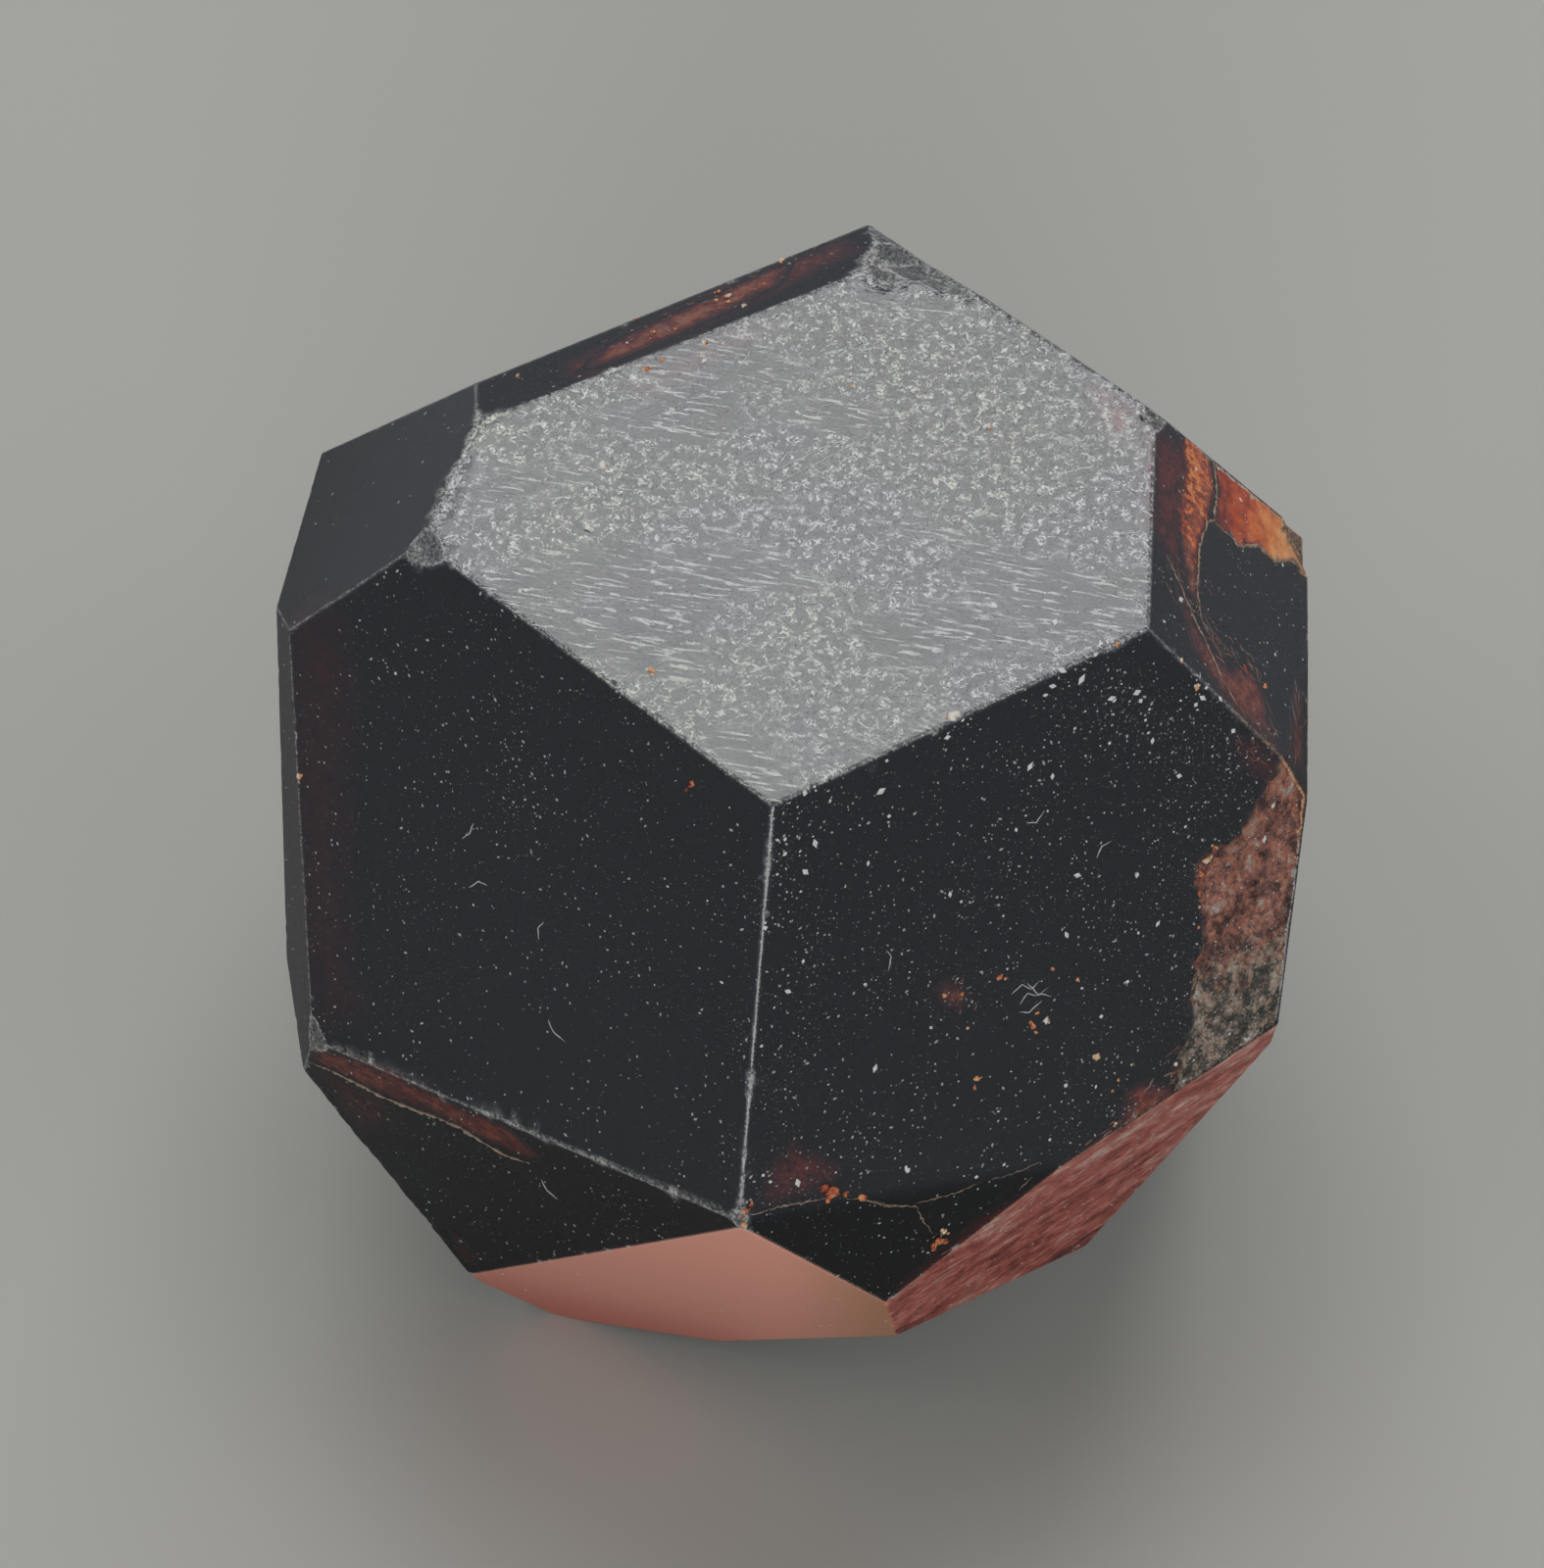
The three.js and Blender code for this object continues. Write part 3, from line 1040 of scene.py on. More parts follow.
# Sheets of iron stain sealed under the surface: facet, depth and shade, then the outline in
# mm right and up. A low shade is dark red and a high one is orange to tan.
VEILS = (
    ("top_back_bevel", 0.3, 0.72, ((5.0, -0.2), (3.0, -1.5), (0.4, -1.9), (-2.3, -2.1),
        (-4.4, -2.5), (-5.4, -2.1), (-4.2, -0.8), (-2.0, -0.3), (0.6, 0.0), (3.2, 0.2))),
    ("top_back_bevel", 0.6, 0.46, ((5.4, -0.2), (5.0, -1.6), (1.9, -2.2), (-2.6, -2.8),
        (-8.0, -2.8), (-8.2, -1.0), (-5.6, -0.6), (-2.3, 0.1), (0.4, 0.4), (4.9, 0.5))),
    ("right_cap", 0.8, 0.48, ((5.0, 6.6), (5.6, 2.8), (4.0, 2.3), (2.2, 2.8), (0.7, 3.4),
        (-0.7, 3.4), (-2.3, 2.9), (-2.2, 4.0), (-0.8, 5.6), (0.3, 6.4))),
    ("right_cap", 0.2, 0.9, ((5.5, 4.0), (5.1, 2.3), (3.7, 2.3), (2.3, 2.7), (0.6, 3.3),
        (-0.8, 3.3), (-2.4, 2.8), (-1.6, 4.1), (0.3, 4.7), (2.0, 4.3), (3.1, 3.9), (4.3, 4.5))),
    ("right_cap", 0.3, 0.66, ((-0.6, 5.5), (-1.9, 4.2), (-2.6, 3.3), (-3.0, 2.5), (-3.3, 1.2),
        (-2.5, -0.3), (-3.0, -1.2), (-4.2, -1.6), (-5.4, -2.6), (-5.2, 0.7), (-4.8, 2.2),
        (-4.0, 3.8))),
    ("front_right", 0.6, 0.42, ((10.0, 6.2), (11.8, 4.9), (12.6, 3.4), (11.6, 2.4),
        (10.4, 4.0))),
    ("front_right", 0.35, 0.6, ((2.1, -8.9), (2.6, -7.6), (3.1, -6.7), (4.0, -6.9), (5.2, -7.9),
        (7.6, -8.2), (5.0, -9.8))),
    ("front_right", 0.5, 0.4, ((-11.6, -2.6), (-10.1, -1.8), (-9.6, -2.7), (-8.3, -4.0),
        (-9.0, -5.0), (-10.4, -4.8), (-12.2, -4.3))),
    ("front_right", 0.22, 0.45, ((-3.7, 1.3), (-2.9, 1.6), (-2.2, 1.0), (-2.0, 0.2),
        (-2.6, -0.3), (-3.4, 0.3))),
    ("low_right_bevel", 0.7, 0.5, ((8.4, 3.2), (5.0, 6.6), (3.1, 4.8), (-0.2, 3.3),
        (-5.7, 2.5), (-9.3, 0.2), (-8.4, -4.6), (1.7, -9.0))),
    ("front_left", 1.9, 0.24, ((-14.0, 5.2), (-11.4, 6.4), (-9.4, 3.7), (-6.9, -3.9),
        (-4.2, -8.4), (-6.0, -11.6), (-9.0, -7.2), (-12.0, -1.3))),
    ("front_left_bevel", 0.3, 0.5, ((-10.2, -1.9), (-9.0, -1.2), (-6.5, -0.9), (-3.9, 0.1),
        (-1.7, 0.4), (0.6, 0.8), (1.4, 2.2), (-0.3, 3.2), (-2.4, 2.6), (-5.7, 2.2),
        (-7.6, 1.6), (-9.9, 0.2))),
    ("front_left_bevel", 0.8, 0.28, ((-10.2, -1.9), (-6.5, -1.1), (-6.0, -3.5), (-8.2, -6.8),
        (-9.6, -3.6))),
    ("front_left_bevel", 0.5, 0.3, ((-4.4, -10.8), (-3.4, -11.2), (-2.6, -13.6), (-4.0, -14.3))),
    ("top", 0.9, 0.5, ((-8.0, 4.2), (-3.0, 8.3), (-1.0, 8.6), (-3.4, 6.2), (-6.2, 3.8))),
    ("top", 0.7, 0.5, ((12.6, 5.4), (12.0, 3.6), (10.8, 3.8), (9.6, 6.6), (10.6, 7.0))),
    ("right_tip", 0.35, 0.45, ((-0.1, -0.5), (-0.9, 0.2), (-4.4, 0.5), (-4.2, -1.4),
        (-2.0, -1.0))),
)

# Pale seams along cracks and steps: facet and thickness, then the line in mm
SEAMS = (
    ("front_right", 0.06, ((-12.6, -4.1), (-11.6, -4.3), (-10.5, -4.7), (-9.4, -5.1))),
    ("front_right", 0.045, ((-8.9, -5.4), (-8.3, -5.8), (-7.5, -6.7), (-6.6, -7.2))),
    ("front_right", 0.035, ((-6.3, -7.3), (-5.1, -7.6), (-3.6, -7.7))),
    ("front_right", 0.025, ((-3.2, -7.8), (-2.2, -8.0), (-1.1, -8.1))),
    ("front_right_bevel", 0.05, ((-6.5, -1.5), (-5.7, -2.2), (-4.4, -3.1), (-4.2, -4.0),
        (-3.9, -4.9))),
    ("front_left_bevel", 0.12, ((-10.1, -1.6), (-9.0, -1.1), (-7.7, -0.9), (-6.5, -0.8),
        (-5.3, -0.4), (-3.9, 0.2), (-2.6, 0.6), (-1.7, 0.4), (-0.5, 0.4), (0.6, 0.9))),
    ("right_cap", 0.1, ((5.3, 2.6), (3.9, 2.3), (2.5, 2.5), (2.2, 2.9), (0.7, 3.4),
        (-1.3, 3.5), (-2.6, 3.1))),
    ("right_cap", 0.12, ((2.5, 2.5), (2.5, 1.2), (2.3, 0.9), (3.2, -0.5), (3.2, -1.7),
        (3.9, -2.8), (4.0, -4.0))),
    ("right_cap", 0.07, ((-0.9, 5.5), (-1.7, 4.6), (-2.5, 3.8), (-3.4, 2.7), (-4.2, 1.8),
        (-4.9, 0.7))),
)

# Single grains on a facet: right, up, size and shade, in mm
GRAINS = by_facet((
    ("front_right", (
        (-0.9, 0.5, 0.13, 0.76), (-0.7, 0.35, 0.08, 0.9), (-0.1, -2.1, 0.16, 0.86),
        (0.5, -2.2, 0.12, 1.2), (0.2, -1.7, 0.08, 1.1), (0.0, -2.5, 0.07, 1.0),
        (2.2, -4.8, 0.17, 1.0), (-2.7, -3.2, 0.12, 0.7), (-2.9, -3.5, 0.07, 0.9),
        (-6.3, -5.5, 0.13, 1.2), (2.1, -1.2, 0.09, 1.1), (2.2, -1.6, 0.06, 1.1),
        (1.2, -0.2, 0.08, 1.1), (-2.6, -0.9, 0.07, 0.9), (-3.2, 0.9, 0.1, 0.7),
        (-2.5, 0.6, 0.08, 0.8), (8.3, 1.1, 0.2, 0.88), (8.0, 0.6, 0.16, 1.1),
        (7.8, -0.1, 0.12, 0.82), (8.7, 1.5, 0.12, 1.1), (7.6, -0.7, 0.08, 1.0),
        (7.4, -1.5, 0.07, 0.9), (-9.3, -4.9, 0.28, 0.72), (-9.6, -4.5, 0.2, 0.64),
        (-8.3, -5.7, 0.18, 0.7), (-8.9, -5.2, 0.13, 0.8),
    )),
    ("front_right_bevel", (
        (-3.7, -5.4, 0.26, 0.95), (-3.4, -5.1, 0.16, 1.1), (-3.9, -5.8, 0.12, 0.8),
    )),
    ("front_left", ((4.8, 10.2, 0.13, 0.62), (4.7, 9.9, 0.07, 0.7), (-10.5, -0.5, 0.14, 1.1))),
    ("top_back_bevel", (
        (6.7, -1.5, 0.1, 1.1), (-1.9, -0.9, 0.12, 1.0), (-1.6, -1.4, 0.1, 0.9),
        (-4.9, -2.4, 0.1, 1.1), (1.6, -0.4, 0.07, 1.0), (2.4, -0.8, 0.06, 1.0),
        (-2.0, -1.9, 0.14, 1.15), (-2.1, -1.3, 0.18, 1.05), (-5.0, -2.5, 0.12, 1.0),
        (1.3, -0.8, 0.09, 0.95), (-2.3, -0.2, 0.11, 1.0), (-3.6, -1.2, 0.07, 0.95),
        (0.5, -0.4, 0.07, 0.9), (1.4, -2.3, 0.08, 0.95),
    )),
    ("top", ((-4.4, 6.0, 0.11, 1.3), (-3.7, 6.7, 0.09, 1.4), (-6.6, 5.1, 0.07, 1.4))),
    # The small pale grains on the low right bevel are painted glints
    ("low_right_bevel", (
        (1.1, 6.6, 0.08, 0.9), (0.8, 6.2, 0.07, 0.8), (3.6, 5.8, 0.09, 1.0), (1.8, 7.0, 0.06, 1.0),
        (0.6, 4.4, 0.07, 1.1),
    )),
    ("front_right", (
        (-12.7, -3.9, 0.17, 1.0), (-12.4, -3.6, 0.12, 0.95), (-12.9, -4.5, 0.14, 1.05),
        (-0.1, 11.8, 0.24, 1.4), (8.9, 9.6, 0.1, 1.3), (9.3, 8.3, 0.12, 1.3),
        (6.5, 11.4, 0.1, 1.3),
    )),
    ("top", (
        (-7.7, -2.4, 0.22, 1.45), (-4.6, -8.4, 0.16, 1.4), (-7.5, 0.4, 0.16, 1.4),
        (6.4, 3.9, 0.14, 1.4), (-6.4, 5.1, 0.12, 1.0), (-5.9, 5.6, 0.1, 1.0),
        (-4.4, 6.6, 0.12, 1.1), (1.3, 5.2, 0.09, 1.2),
    )),
    ("right_cap", ((-2.9, 0.3, 0.1, 0.8), (-3.0, -1.1, 0.12, 0.84))),
))

# Groups of short streaks: facet, from, to, how far they lie to the side of that line, how
# many, how long and shade, in mm
STREAKS = (
    ("right_cap", -1.0, 5.2, -5.0, -1.4, 0.9, 34, 1.0, 0.82),
    ("right_cap", 4.8, 3.2, -1.6, 3.6, 0.45, 22, 0.5, 0.9),
    ("right_cap", -2.2, 0.6, -2.6, -0.8, 0.3, 8, 0.5, 1.05),
    ("low_right_bevel", 4.6, 5.8, -8.6, 0.4, 0.8, 30, 0.6, 0.9),
    ("low_right_bevel", 3.0, 3.0, -6.0, -1.0, 1.5, 16, 0.5, 0.66),
    ("top_back_bevel", 4.0, -0.9, -7.6, -1.9, 0.6, 30, 0.3, 0.85),
    ("top_back_bevel", 3.0, -1.0, -4.6, -1.5, 0.7, 26, 0.25, 1.15),
    ("right_cap", -1.6, 4.6, -3.2, 0.0, 0.45, 30, 0.4, 1.1),
    ("right_tip", -0.6, -0.2, -3.9, -0.4, 0.5, 14, 0.9, 1.0),
    ("front_right", 9.6, -5.6, 5.6, -7.4, 0.9, 26, 0.7, 0.9),
    ("front_right", -2.6, 1.2, -2.9, -0.2, 0.5, 12, 0.3, 0.7),
    ("front_right", 10.6, 5.4, 11.8, 3.6, 0.5, 10, 0.4, 0.75),
    ("front_left_bevel", -9.8, -0.6, -1.0, 1.6, 0.7, 24, 0.7, 0.8),
)

# Fibres: facet and the points they pass, in mm
FIBRES = (
    ("front_left", ((-1.9, 0.4), (-1.6, 0.9), (-1.2, 1.0))),
    ("front_left", ((-2.9, 2.0), (-2.7, 2.4), (-2.7, 2.9))),
    ("front_left", ((1.5, 1.3), (1.4, 0.9), (1.6, 0.5))),
    ("front_left", ((3.2, -2.2), (3.6, -2.5), (4.2, -2.5))),
    ("front_left_bevel", ((1.1, 0.0), (1.3, -0.7), (1.8, -1.0))),
    ("front_right", ((-0.6, -0.4), (-0.1, -0.2), (0.2, -0.6), (0.6, -0.4))),
    ("front_right", ((-0.4, -1.0), (0.0, -0.7), (0.4, -1.0), (0.8, -0.9))),
    ("front_right", ((0.1, -0.3), (0.4, -0.9), (0.9, -1.3))),
    ("front_right", ((-0.5, -1.3), (-0.1, -1.5), (0.5, -1.3))),
    ("front_right", ((1.5, 6.2), (1.9, 6.0), (2.3, 6.3))),
    ("front_right", ((9.2, 8.9), (9.5, 8.6), (9.7, 8.8))),
    ("front_right", ((3.9, 3.4), (4.2, 3.8), (4.6, 3.8))),
    ("front_right", ((-5.0, 3.0), (-4.8, 3.5), (-4.9, 3.8))),
    ("top", ((-3.2, 4.9), (-2.9, 5.8), (-2.5, 6.8))),
    ("top", ((-1.4, 0.0), (0.4, 1.5), (2.1, 2.9))),
    ("top", ((-1.9, 0.4), (-0.4, 1.5), (0.9, 2.5))),
    ("top", ((0.1, 3.7), (0.3, 4.1), (0.7, 4.3))),
)


SEEDS = {"veils": 5, "grains": 6, "fibres": 7, "seams": 8, "streaks": 9}
LUMPS = (0.85, 0.6, 0.45)  # sizes of the lumps that make one grain
VEIL_STEP = 0.3  # mm between the points of a veil
VEIL_WANDER = 0.06  # mm that its rim strays
VEIL_RIM = 0.15  # mm between its rim and its first inner points
VEIL_FADE = 0.4  # mm over which its colour sets in, and its depth more
VEIL_HALF = (0.005, 0.03)  # mm, half its thickness at the rim, and more in the middle
VEIL_COVER, STREAK_COVER = 0.12, 0.08  # mm of garnet over them at least
STREAK_DEPTHS, STREAK_WIDTHS = (0.1, 0.3), (0.03, 0.1)  # mm
STREAK_LEAN = 0.35  # how much streaks lean from their line, as a slope


def veil(pile, name, deep, shade, outline):
    """A thin closed wavy sheet under a facet, fading to its rim."""
    facet, rng = FACETS[name], pile.random
    closed = [*outline, outline[0]]
    rim = np.array(smooth_path(closed, VEIL_STEP, VEIL_WANDER, rng)[:-1])
    inner = staggered(rim.min(0), rim.max(0), VEIL_STEP)
    within = depth_within(inner, rim)
    wanted = within > VEIL_RIM
    flat = np.vstack([rim, inner[wanted]])
    fade = smooth_step(within[wanted], 0.0, VEIL_FADE + deep)
    fade = np.concatenate([np.zeros(len(rim)), fade])
    cut = delaunay_2d_cdt([Vector(p) for p in flat], [], [list(range(len(rim)))], 1, ONE_PLACE)
    shift = Vector((rng.uniform(0, 90), 0, 0))
    top, bottom = [], []
    for (x, y), share in zip(flat, fade):
        wavy = deep + 0.3 * deep * noise.noise(Vector((x, y, 0)) * 0.8 + shift)
        half = VEIL_HALF[0] + VEIL_HALF[1] * share
        spot = pile.sealed(facet.at(x, y, wavy), VEIL_COVER * MM)
        top.append(spot + facet.normal * half * MM)
        bottom.append(spot - facet.normal * half * MM)
    known = [old[0] if old else None for old in cut[3]]
    faces, count = [], len(flat)
    for triangle in cut[2]:
        old = [known[i] for i in triangle]
        if None in old or len(set(old)) < 3:
            continue
        faces.append(old)
        faces.append([i if i < len(rim) else i + count - len(rim) for i in reversed(old)])
    shades = shade * np.concatenate([fade, fade[len(rim) :]])
    pile.add(top + bottom[len(rim) :], faces, list(shades))


def streak_group(pile, name, x0, y0, x1, y1, spread, count, size, shade):
    """Short ragged streaks along a line, just under a facet."""
    rng, facet = pile.random, FACETS[name]
    way = Vector((x1 - x0, y1 - y0)).normalized()
    for _ in range(count):
        share, side = rng.random(), rng.gauss(0, 0.5) * spread
        x = x0 + (x1 - x0) * share - way.y * side
        y = y0 + (y1 - y0) * share + way.x * side
        half = size * rng.uniform(0.2, 0.7)
        lean = rng.gauss(0, STREAK_LEAN)
        dx, dy = way.x - way.y * lean, way.y + way.x * lean
        deep = rng.uniform(*STREAK_DEPTHS)
        path = []
        for i in range(5):
            t = (i / 2 - 1) * half
            wander = rng.uniform(-0.06, 0.06)
            spot = facet.at(x + dx * t - dy * wander, y + dy * t + dx * wander, deep)
            path.append(pile.sealed(spot, STREAK_COVER * MM))
        thickness = rng.uniform(*STREAK_WIDTHS) * MM
        pile.thread(path, thickness, shade * rng.uniform(0.75, 1.15), 0.5, 4)


def evaluated(tree, guide, given):
    """The plain mesh that a node tree grows on a guide mesh."""
    holder = linked("guide", guide)
    modifier = holder.modifiers.new("grow", "NODES")
    modifier.node_group = tree
    for socket in tree.interface.items_tree:
        if socket.in_out == "INPUT" and socket.name in given:
            modifier[socket.identifier] = given[socket.name]
    found = holder.evaluated_get(bpy.context.evaluated_depsgraph_get())
    mesh = bpy.data.meshes.new_from_object(found)
    bpy.data.objects.remove(holder)
    return mesh


def grain_tree():
    """Node tree that grows flat grains on a surface, thickest where its crowd is highest."""
    tree = bpy.data.node_groups.new("grains", "GeometryNodeTree")
    inputs = (
        ("Surface", "NodeSocketGeometry"), ("Crowd", "NodeSocketFloat"),
        ("Size", "NodeSocketFloat"), ("Flatness", "NodeSocketFloat"),
        ("Seed", "NodeSocketInt"), ("Material", "NodeSocketMaterial"),
    )
    for name, kind in inputs:
        tree.interface.new_socket(name, in_out="INPUT", socket_type=kind)
    tree.interface.new_socket("Grains", in_out="OUTPUT", socket_type="NodeSocketGeometry")
    net = Net(tree)
    given = net.node("NodeGroupInput").outputs
    crowd = net.value("GeometryNodeInputNamedAttribute", None, {"Name": "crowd"})
    position = net.node("GeometryNodeInputPosition").outputs[0]
    in_mm = net.node("ShaderNodeVectorMath", {"operation": "SCALE"}, {
        0: position,
        "Scale": 1 / MM,
    })
    drift = net.cloud(in_mm.outputs[0], 0.5, 4, 0.7).above(0.36, 0.66) * 1.5 + 0.15
    spots = net.node("GeometryNodeDistributePointsOnFaces", None, {
        "Mesh": given["Surface"],
        "Density": crowd * drift * given["Crowd"],
        "Seed": given["Seed"],
    }).outputs

    def chance(low, high, seed):
        sockets = {2: low, 3: high, "Seed": seed}
        return net.value("FunctionNodeRandomValue", {"data_type": "FLOAT"}, sockets, 1)

    size = (chance(0.0, 1.0, 3) ** 7 * 2.6 + 0.7) * given["Size"]
    stretch = net.node("ShaderNodeCombineXYZ", None, {
        "X": size * chance(0.7, 2.0, 4),
        "Y": size,
        "Z": size * given["Flatness"],
    }).outputs[0]
    spin = net.node("ShaderNodeCombineXYZ", None, {"Z": chance(0.0, 2 * math.pi, 5)}).outputs[0]
    spin = net.node("FunctionNodeEulerToRotation", None, {"Euler": spin}).outputs[0]
    turn = net.node("FunctionNodeRotateRotation", {"rotation_space": "LOCAL"}, {
        "Rotation": spots["Rotation"],
        "Rotate By": spin,
    }).outputs[0]
    shape = net.node("GeometryNodeMeshUVSphere", None, {"Segments": 4, "Rings": 2, "Radius": 1.0})
    placed = net.node("GeometryNodeInstanceOnPoints", None, {
        "Points": spots["Points"],
        "Instance": shape.outputs["Mesh"],
        "Rotation": turn,
        "Scale": stretch,
    }).outputs[0]
    real = net.node("GeometryNodeRealizeInstances", None, {"Geometry": placed}).outputs[0]
    dressed = net.node("GeometryNodeSetMaterial", None, {
        "Geometry": real,
        "Material": given["Material"],
    }).outputs[0]
    net.node("NodeGroupOutput", None, {"Grains": dressed})
    return tree


def scattered(name, guide, crowd, size, flatness, seed, material):
    """Adds grains over a guide mesh, as many as its crowd attribute says."""
    tree = bpy.data.node_groups.get("grains") or grain_tree()
    mesh = evaluated(tree, guide, {
        "Crowd": crowd,
        "Size": size,
        "Flatness": flatness,
        "Seed": seed,
        "Material": material,
    })
    mesh.name = name
    add_piece(name, mesh)


# ---------------------------------------------------------------- stage


AIM = Vector((-0.77, -0.25, -0.12)) * MM  # where the camera looks, from the crystal's middle
FLOOR_RADIUS = 3.0  # metres
FLOOR = (0.505, 0.5, 0.475)  # its colour
FLOOR_MIRRORED = ((0.14, 0.14, 0.14), (0.34, 0.35, 0.39))  # close to the crystal and far away
FLOOR_CLOSE, FLOOR_FAR = 0.04, 0.12  # metres that a mirrored ray travels
# The room round it: its light, how it looks behind the floor, and in a reflection
ROOM, ROOM_SEEN, ROOM_MIRRORED = (0.2, 0.205, 0.2), (0.36, 0.37, 0.355), (0.26, 0.28, 0.32)

# Soft boxes: side, brightness, azimuth and elevation in degrees, and distance
LIGHTS = {
    "key": (1.52, 3.0, 184, 57, 2.2),
    "front": (1.36, 3.1, 4, 17, 2.4),
    "left": (1.2, 1.0, -85, 50, 2.4),
    "right": (1.2, 0.6, 80, 50, 2.4),
}


def soft_box(name, size, strength, place):
    """A square area light at a place, turned to the crystal. Strength is its brightness."""
    light = bpy.data.lights.new(name, "AREA")
    light.shape = "SQUARE"
    light.size = size
    light.energy = strength * math.pi * size * size
    holder = linked(name, light)
    holder.location = place
    holder.visible_camera = False
    holder.rotation_euler = (CENTRE - place).to_track_quat("-Z", "Y").to_euler()


def direction(azimuth, elevation):
    """Unit vector from the crystal, azimuth 0 to the front and 90 to the right, in degrees."""
    a, e = math.radians(azimuth), math.radians(elevation)
    return Vector((math.sin(a) * math.cos(e), -math.cos(a) * math.cos(e), math.sin(e)))


def floor_mesh():
    made = bmesh.new()
    bmesh.ops.create_circle(made, cap_ends=True, segments=96, radius=FLOOR_RADIUS)
    mesh = bpy.data.meshes.new("floor")
    made.to_mesh(mesh)
    made.free()
    return mesh


def floor_material():
    """Pale matte floor that is dimmer in a reflection, so that polished faces stay dark."""
    material, net, out = new_material("floor")
    rays = net.node("ShaderNodeLightPath").outputs
    far = Value(net, rays["Ray Length"]).above(FLOOR_CLOSE, FLOOR_FAR)
    shade = net.blend(rays["Is Glossy Ray"], FLOOR, net.blend(far, *FLOOR_MIRRORED))
    net.feed(out.inputs["Surface"], shell(net, {"Base Color": shade, "Roughness": 0.9}))
    return material


# ---------------------------------------------------------------- operators


class GARNET_OT_stage(bpy.types.Operator):
    """Makes the camera, the floor and the studio light"""

    bl_idname = "garnet.stage"
    bl_label = "Stage"

    def execute(self, context):
        sizes = context.scene.garnet_stage
        scene = context.scene
        camera_data = bpy.data.cameras.new("camera")
        camera_data.lens = sizes.lens
        camera_data.sensor_fit = "AUTO"
        camera_data.sensor_width = 36.0
        camera_data.clip_start = 0.005
        camera = linked("camera", camera_data)
        back = direction(math.degrees(sizes.azimuth), math.degrees(sizes.elevation))
        target = CENTRE + AIM
        turn = (-back).to_track_quat("-Z", "Y").to_matrix()
        turn = turn @ Matrix.Rotation(sizes.roll, 3, "Z")
        camera.matrix_world = Matrix.Translation(target + back * sizes.distance) @ turn.to_4x4()
        scene.camera = camera

        floor = linked("floor", floor_mesh())
        floor.data.materials.append(floor_material())

        for name, (size, strength, azimuth, elevation, away) in LIGHTS.items():
            soft_box(name, size, strength, CENTRE + direction(azimuth, elevation) * away)

        world = bpy.data.worlds.new("studio")
        world.use_nodes = True
        world.node_tree.nodes.clear()
        net = Net(world.node_tree)
        rays = net.node("ShaderNodeLightPath").outputs
        pale = net.blend(rays["Is Camera Ray"], ROOM, ROOM_SEEN)
        pale = net.blend(rays["Is Glossy Ray"], pale, ROOM_MIRRORED)
        room = net.node("ShaderNodeBackground", None, {"Color": pale}).outputs[0]
        net.node("ShaderNodeOutputWorld", None, {"Surface": room})
        scene.world = world
        scene.view_settings.view_transform = "Standard"
        return {"FINISHED"}


class GARNET_OT_body(bpy.types.Operator):
    """Makes the crystal's fine, worn surface in place of the plain solid"""

    bl_idname = "garnet.body"
    bl_label = "Crystal"

    def execute(self, context):
        mesh = crystal_mesh(context.scene.garnet_crystal)
        garnet = garnet_material(context.scene.garnet_look)
        body = add_piece("crystal_body", mesh, garnet)
        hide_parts("garnet_crystal")
        return {"FINISHED"}


class GARNET_OT_veils(bpy.types.Operator):
    """Seals iron stained sheets in the crystal"""

    bl_idname = "garnet.veils"
    bl_label = "Iron veils"

    def execute(self, context):
        pile = Pile(SEEDS["veils"])
        for row in VEILS:
            veil(pile, *row)
        add_piece("iron_veils", pile.mesh("iron_veils"), mineral_material())
        return {"FINISHED"}


class GARNET_OT_grains(bpy.types.Operator):
    """Lays mineral grains on the crystal"""

    bl_idname = "garnet.grains"
    bl_label = "Grains"

    def execute(self, context):
        pile = Pile(SEEDS["grains"])
        spread = pile.random.uniform
        for name, right, up, size, shade in GRAINS:
            for part in LUMPS:
                shift = size * (1 - part)
                spot = FACETS[name].at(right + spread(-2, 2) * shift, up + spread(-2, 2) * shift)
                spot = pile.landed(spot, 0.1 * size * part * MM)
                pile.ball(spot, size * part * MM, shade * spread(0.7, 1.1), 0.5, 0.9)
        add_piece("grains", pile.mesh("grains"), mineral_material())
        return {"FINISHED"}


class GARNET_OT_streaks(bpy.types.Operator):
    """Seals short mineral streaks just under the crystal's surface"""

    bl_idname = "garnet.streaks"
    bl_label = "Streaks"

    def execute(self, context):
        pile = Pile(SEEDS["streaks"])
        for row in STREAKS:
            streak_group(pile, *row)
        mesh = pile.mesh("mineral_streaks")
        add_piece("mineral_streaks", mesh, mineral_material())
        return {"FINISHED"}


class GARNET_OT_seams(bpy.types.Operator):
    """Lays pale seams along the cracks and steps"""

    bl_idname = "garnet.seams"
    bl_label = "Seams"

    def execute(self, context):
        pile = Pile(SEEDS["seams"])
        for name, thickness, line in SEAMS:
            path = pile.laid(name, line, 0.12, 0.05)
            pile.thread(path, thickness * MM, 1.0, 0.8)
        seam = matte("seam", (0.34, 0.25, 0.19), 0.5, 3.0, 0.85)
        add_piece("pale_seams", pile.mesh("pale_seams"), seam)
        return {"FINISHED"}


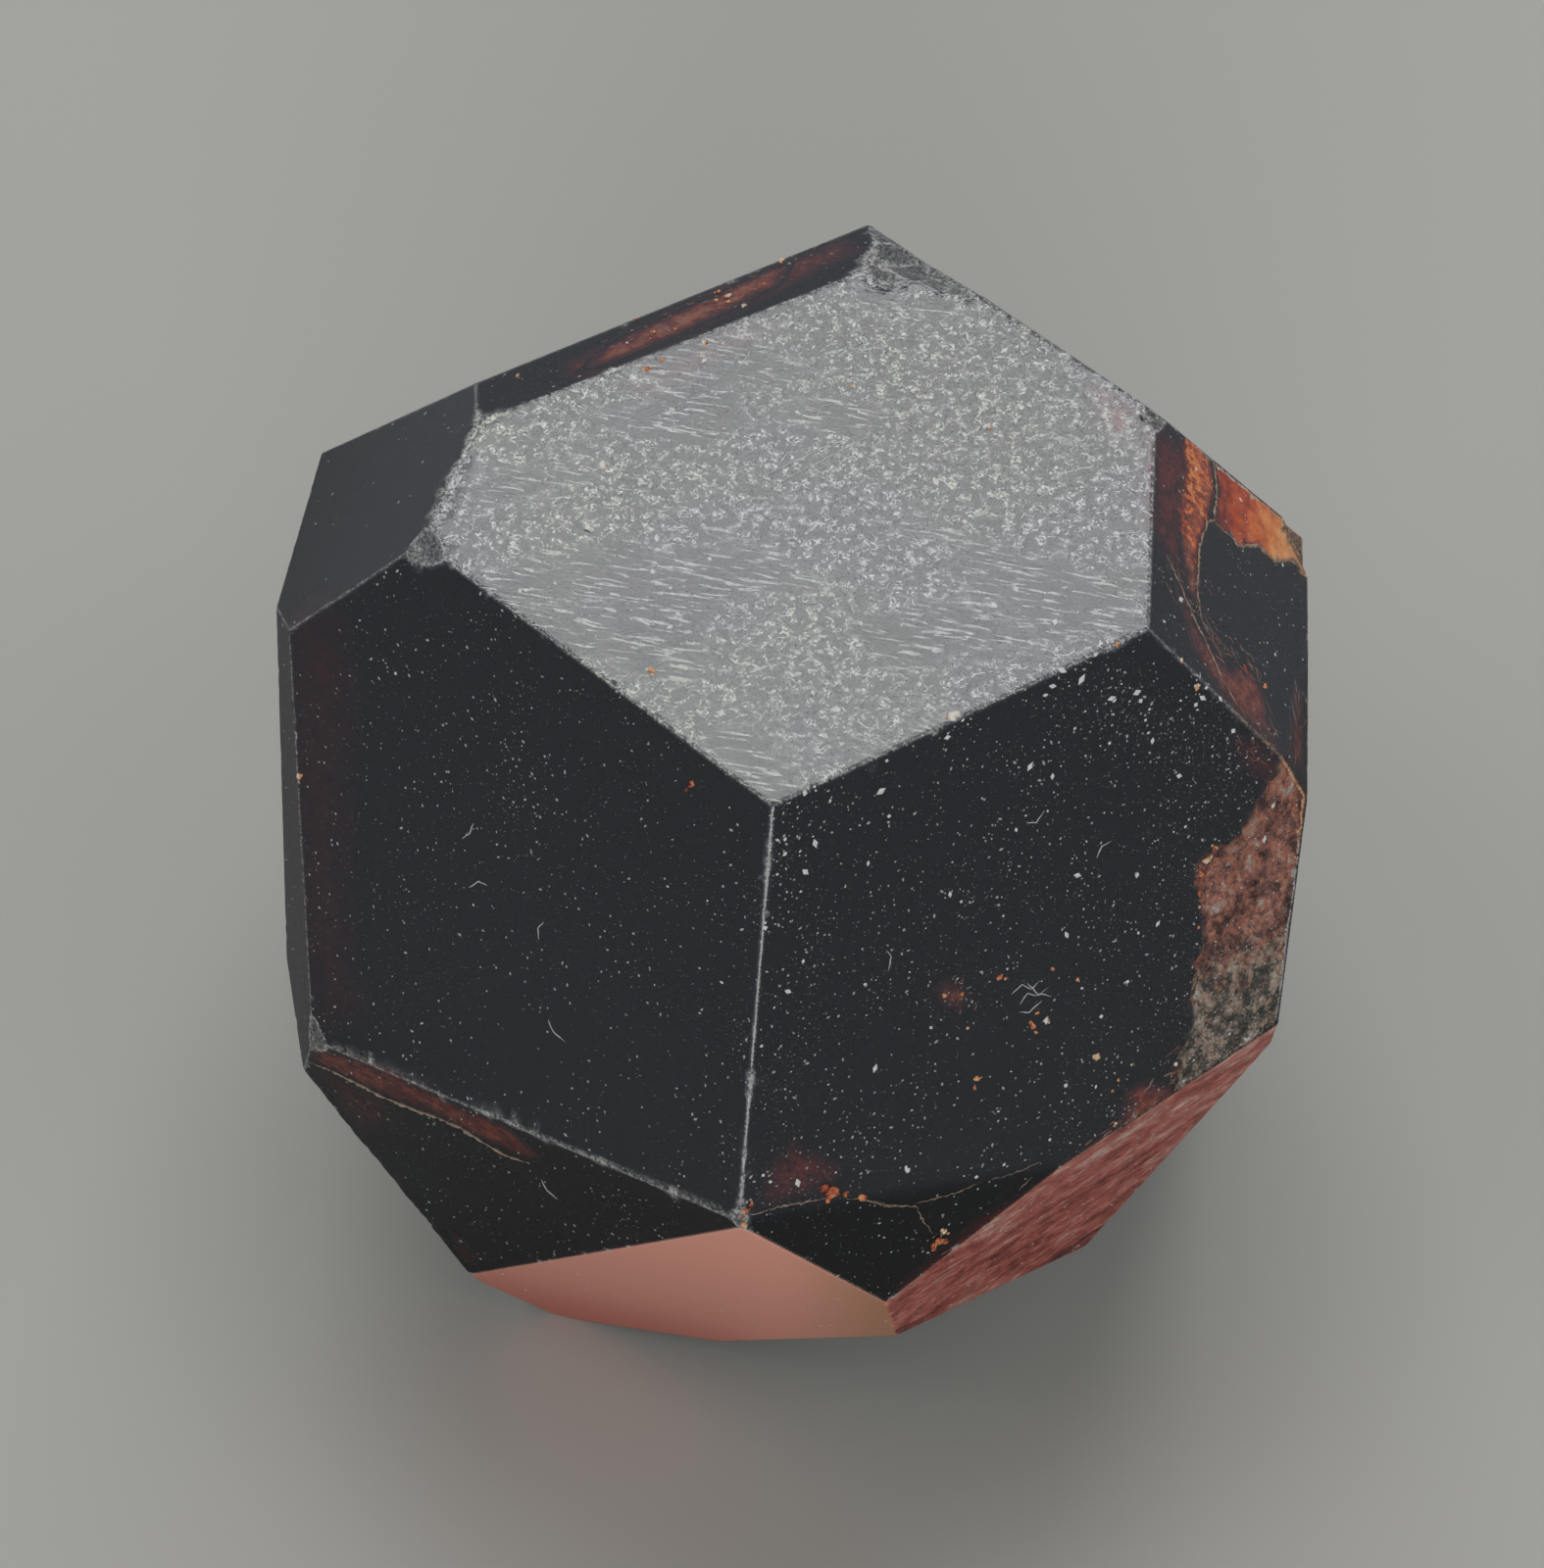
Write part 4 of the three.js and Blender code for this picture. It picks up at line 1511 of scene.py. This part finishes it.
class GARNET_OT_fibres(bpy.types.Operator):
    """Lays fibres and fine hairs on the crystal"""

    bl_idname = "garnet.fibres"
    bl_label = "Fibres"

    def execute(self, context):
        sizes = context.scene.garnet_dust
        pile = Pile(SEEDS["fibres"])
        for name, line in FIBRES:
            path = pile.laid(name, line, 0.15, 0.02, sizes.fibre * 0.3)
            pile.thread(path, sizes.fibre, 1.0)
        add_piece("fibres", pile.mesh("fibres"), matte("lint", (0.62, 0.62, 0.6)))
        return {"FINISHED"}


class GARNET_OT_dust(bpy.types.Operator):
    """Scatters dust over the crystal"""

    bl_idname = "garnet.dust"
    bl_label = "Dust"

    def execute(self, context):
        sizes = context.scene.garnet_dust
        guide = bpy.data.objects["crystal_body"].data.copy()
        grey = matte("dust", (0.42, 0.43, 0.42))
        scattered("surface_dust", guide, sizes.crowd, sizes.speck, 0.5, sizes.seed, grey)
        return {"FINISHED"}


class GARNET_OT_flakes(bpy.types.Operator):
    """Scatters pale flakes over the etched face and the front"""

    bl_idname = "garnet.flakes"
    bl_label = "Flakes"

    def execute(self, context):
        sizes = context.scene.garnet_dust
        guide = bpy.data.objects["crystal_body"].data.copy()
        guide.attributes.remove(guide.attributes["crowd"])
        guide.attributes["flaky"].name = "crowd"
        pale = matte("flake", (0.8, 0.8, 0.78))
        scattered("etched_flakes", guide, sizes.flakes, sizes.flake, 0.35, sizes.seed + 1, pale)
        return {"FINISHED"}


class GARNET_PT_sidebar(bpy.types.Panel):
    """Lists the pieces of the crystal"""

    bl_idname = "GARNET_PT_sidebar"
    bl_label = "Garnet Crystal"
    bl_space_type = "VIEW_3D"
    bl_region_type = "UI"
    bl_category = "Garnet"

    def draw(self, context):
        for operator in OPERATORS:
            self.layout.operator(operator.bl_idname)


GROUPS = {
    "garnet_crystal": CrystalSizes,
    "garnet_look": GarnetLook,
    "garnet_dust": DustSizes,
    "garnet_stage": StageSizes,
}
OPERATORS = (
    GARNET_OT_stage, GARNET_OT_body, GARNET_OT_veils, GARNET_OT_grains, GARNET_OT_streaks,
    GARNET_OT_seams, GARNET_OT_fibres, GARNET_OT_dust, GARNET_OT_flakes,
)
CLASSES = (*GROUPS.values(), *OPERATORS, GARNET_PT_sidebar)


def register():
    for made in CLASSES:
        bpy.utils.register_class(made)
    for name, group in GROUPS.items():
        setattr(bpy.types.Scene, name, bpy.props.PointerProperty(type=group))


def unregister():
    for name in GROUPS:
        delattr(bpy.types.Scene, name)
    for made in reversed(CLASSES):
        bpy.utils.unregister_class(made)


def main():
    register()
    bpy.ops.garnet.stage()
    bpy.ops.garnet.body()
    bpy.ops.garnet.veils()
    bpy.ops.garnet.grains()
    bpy.ops.garnet.streaks()
    bpy.ops.garnet.seams()
    bpy.ops.garnet.fibres()
    bpy.ops.garnet.dust()
    bpy.ops.garnet.flakes()


if __name__ == "__main__":
    main()
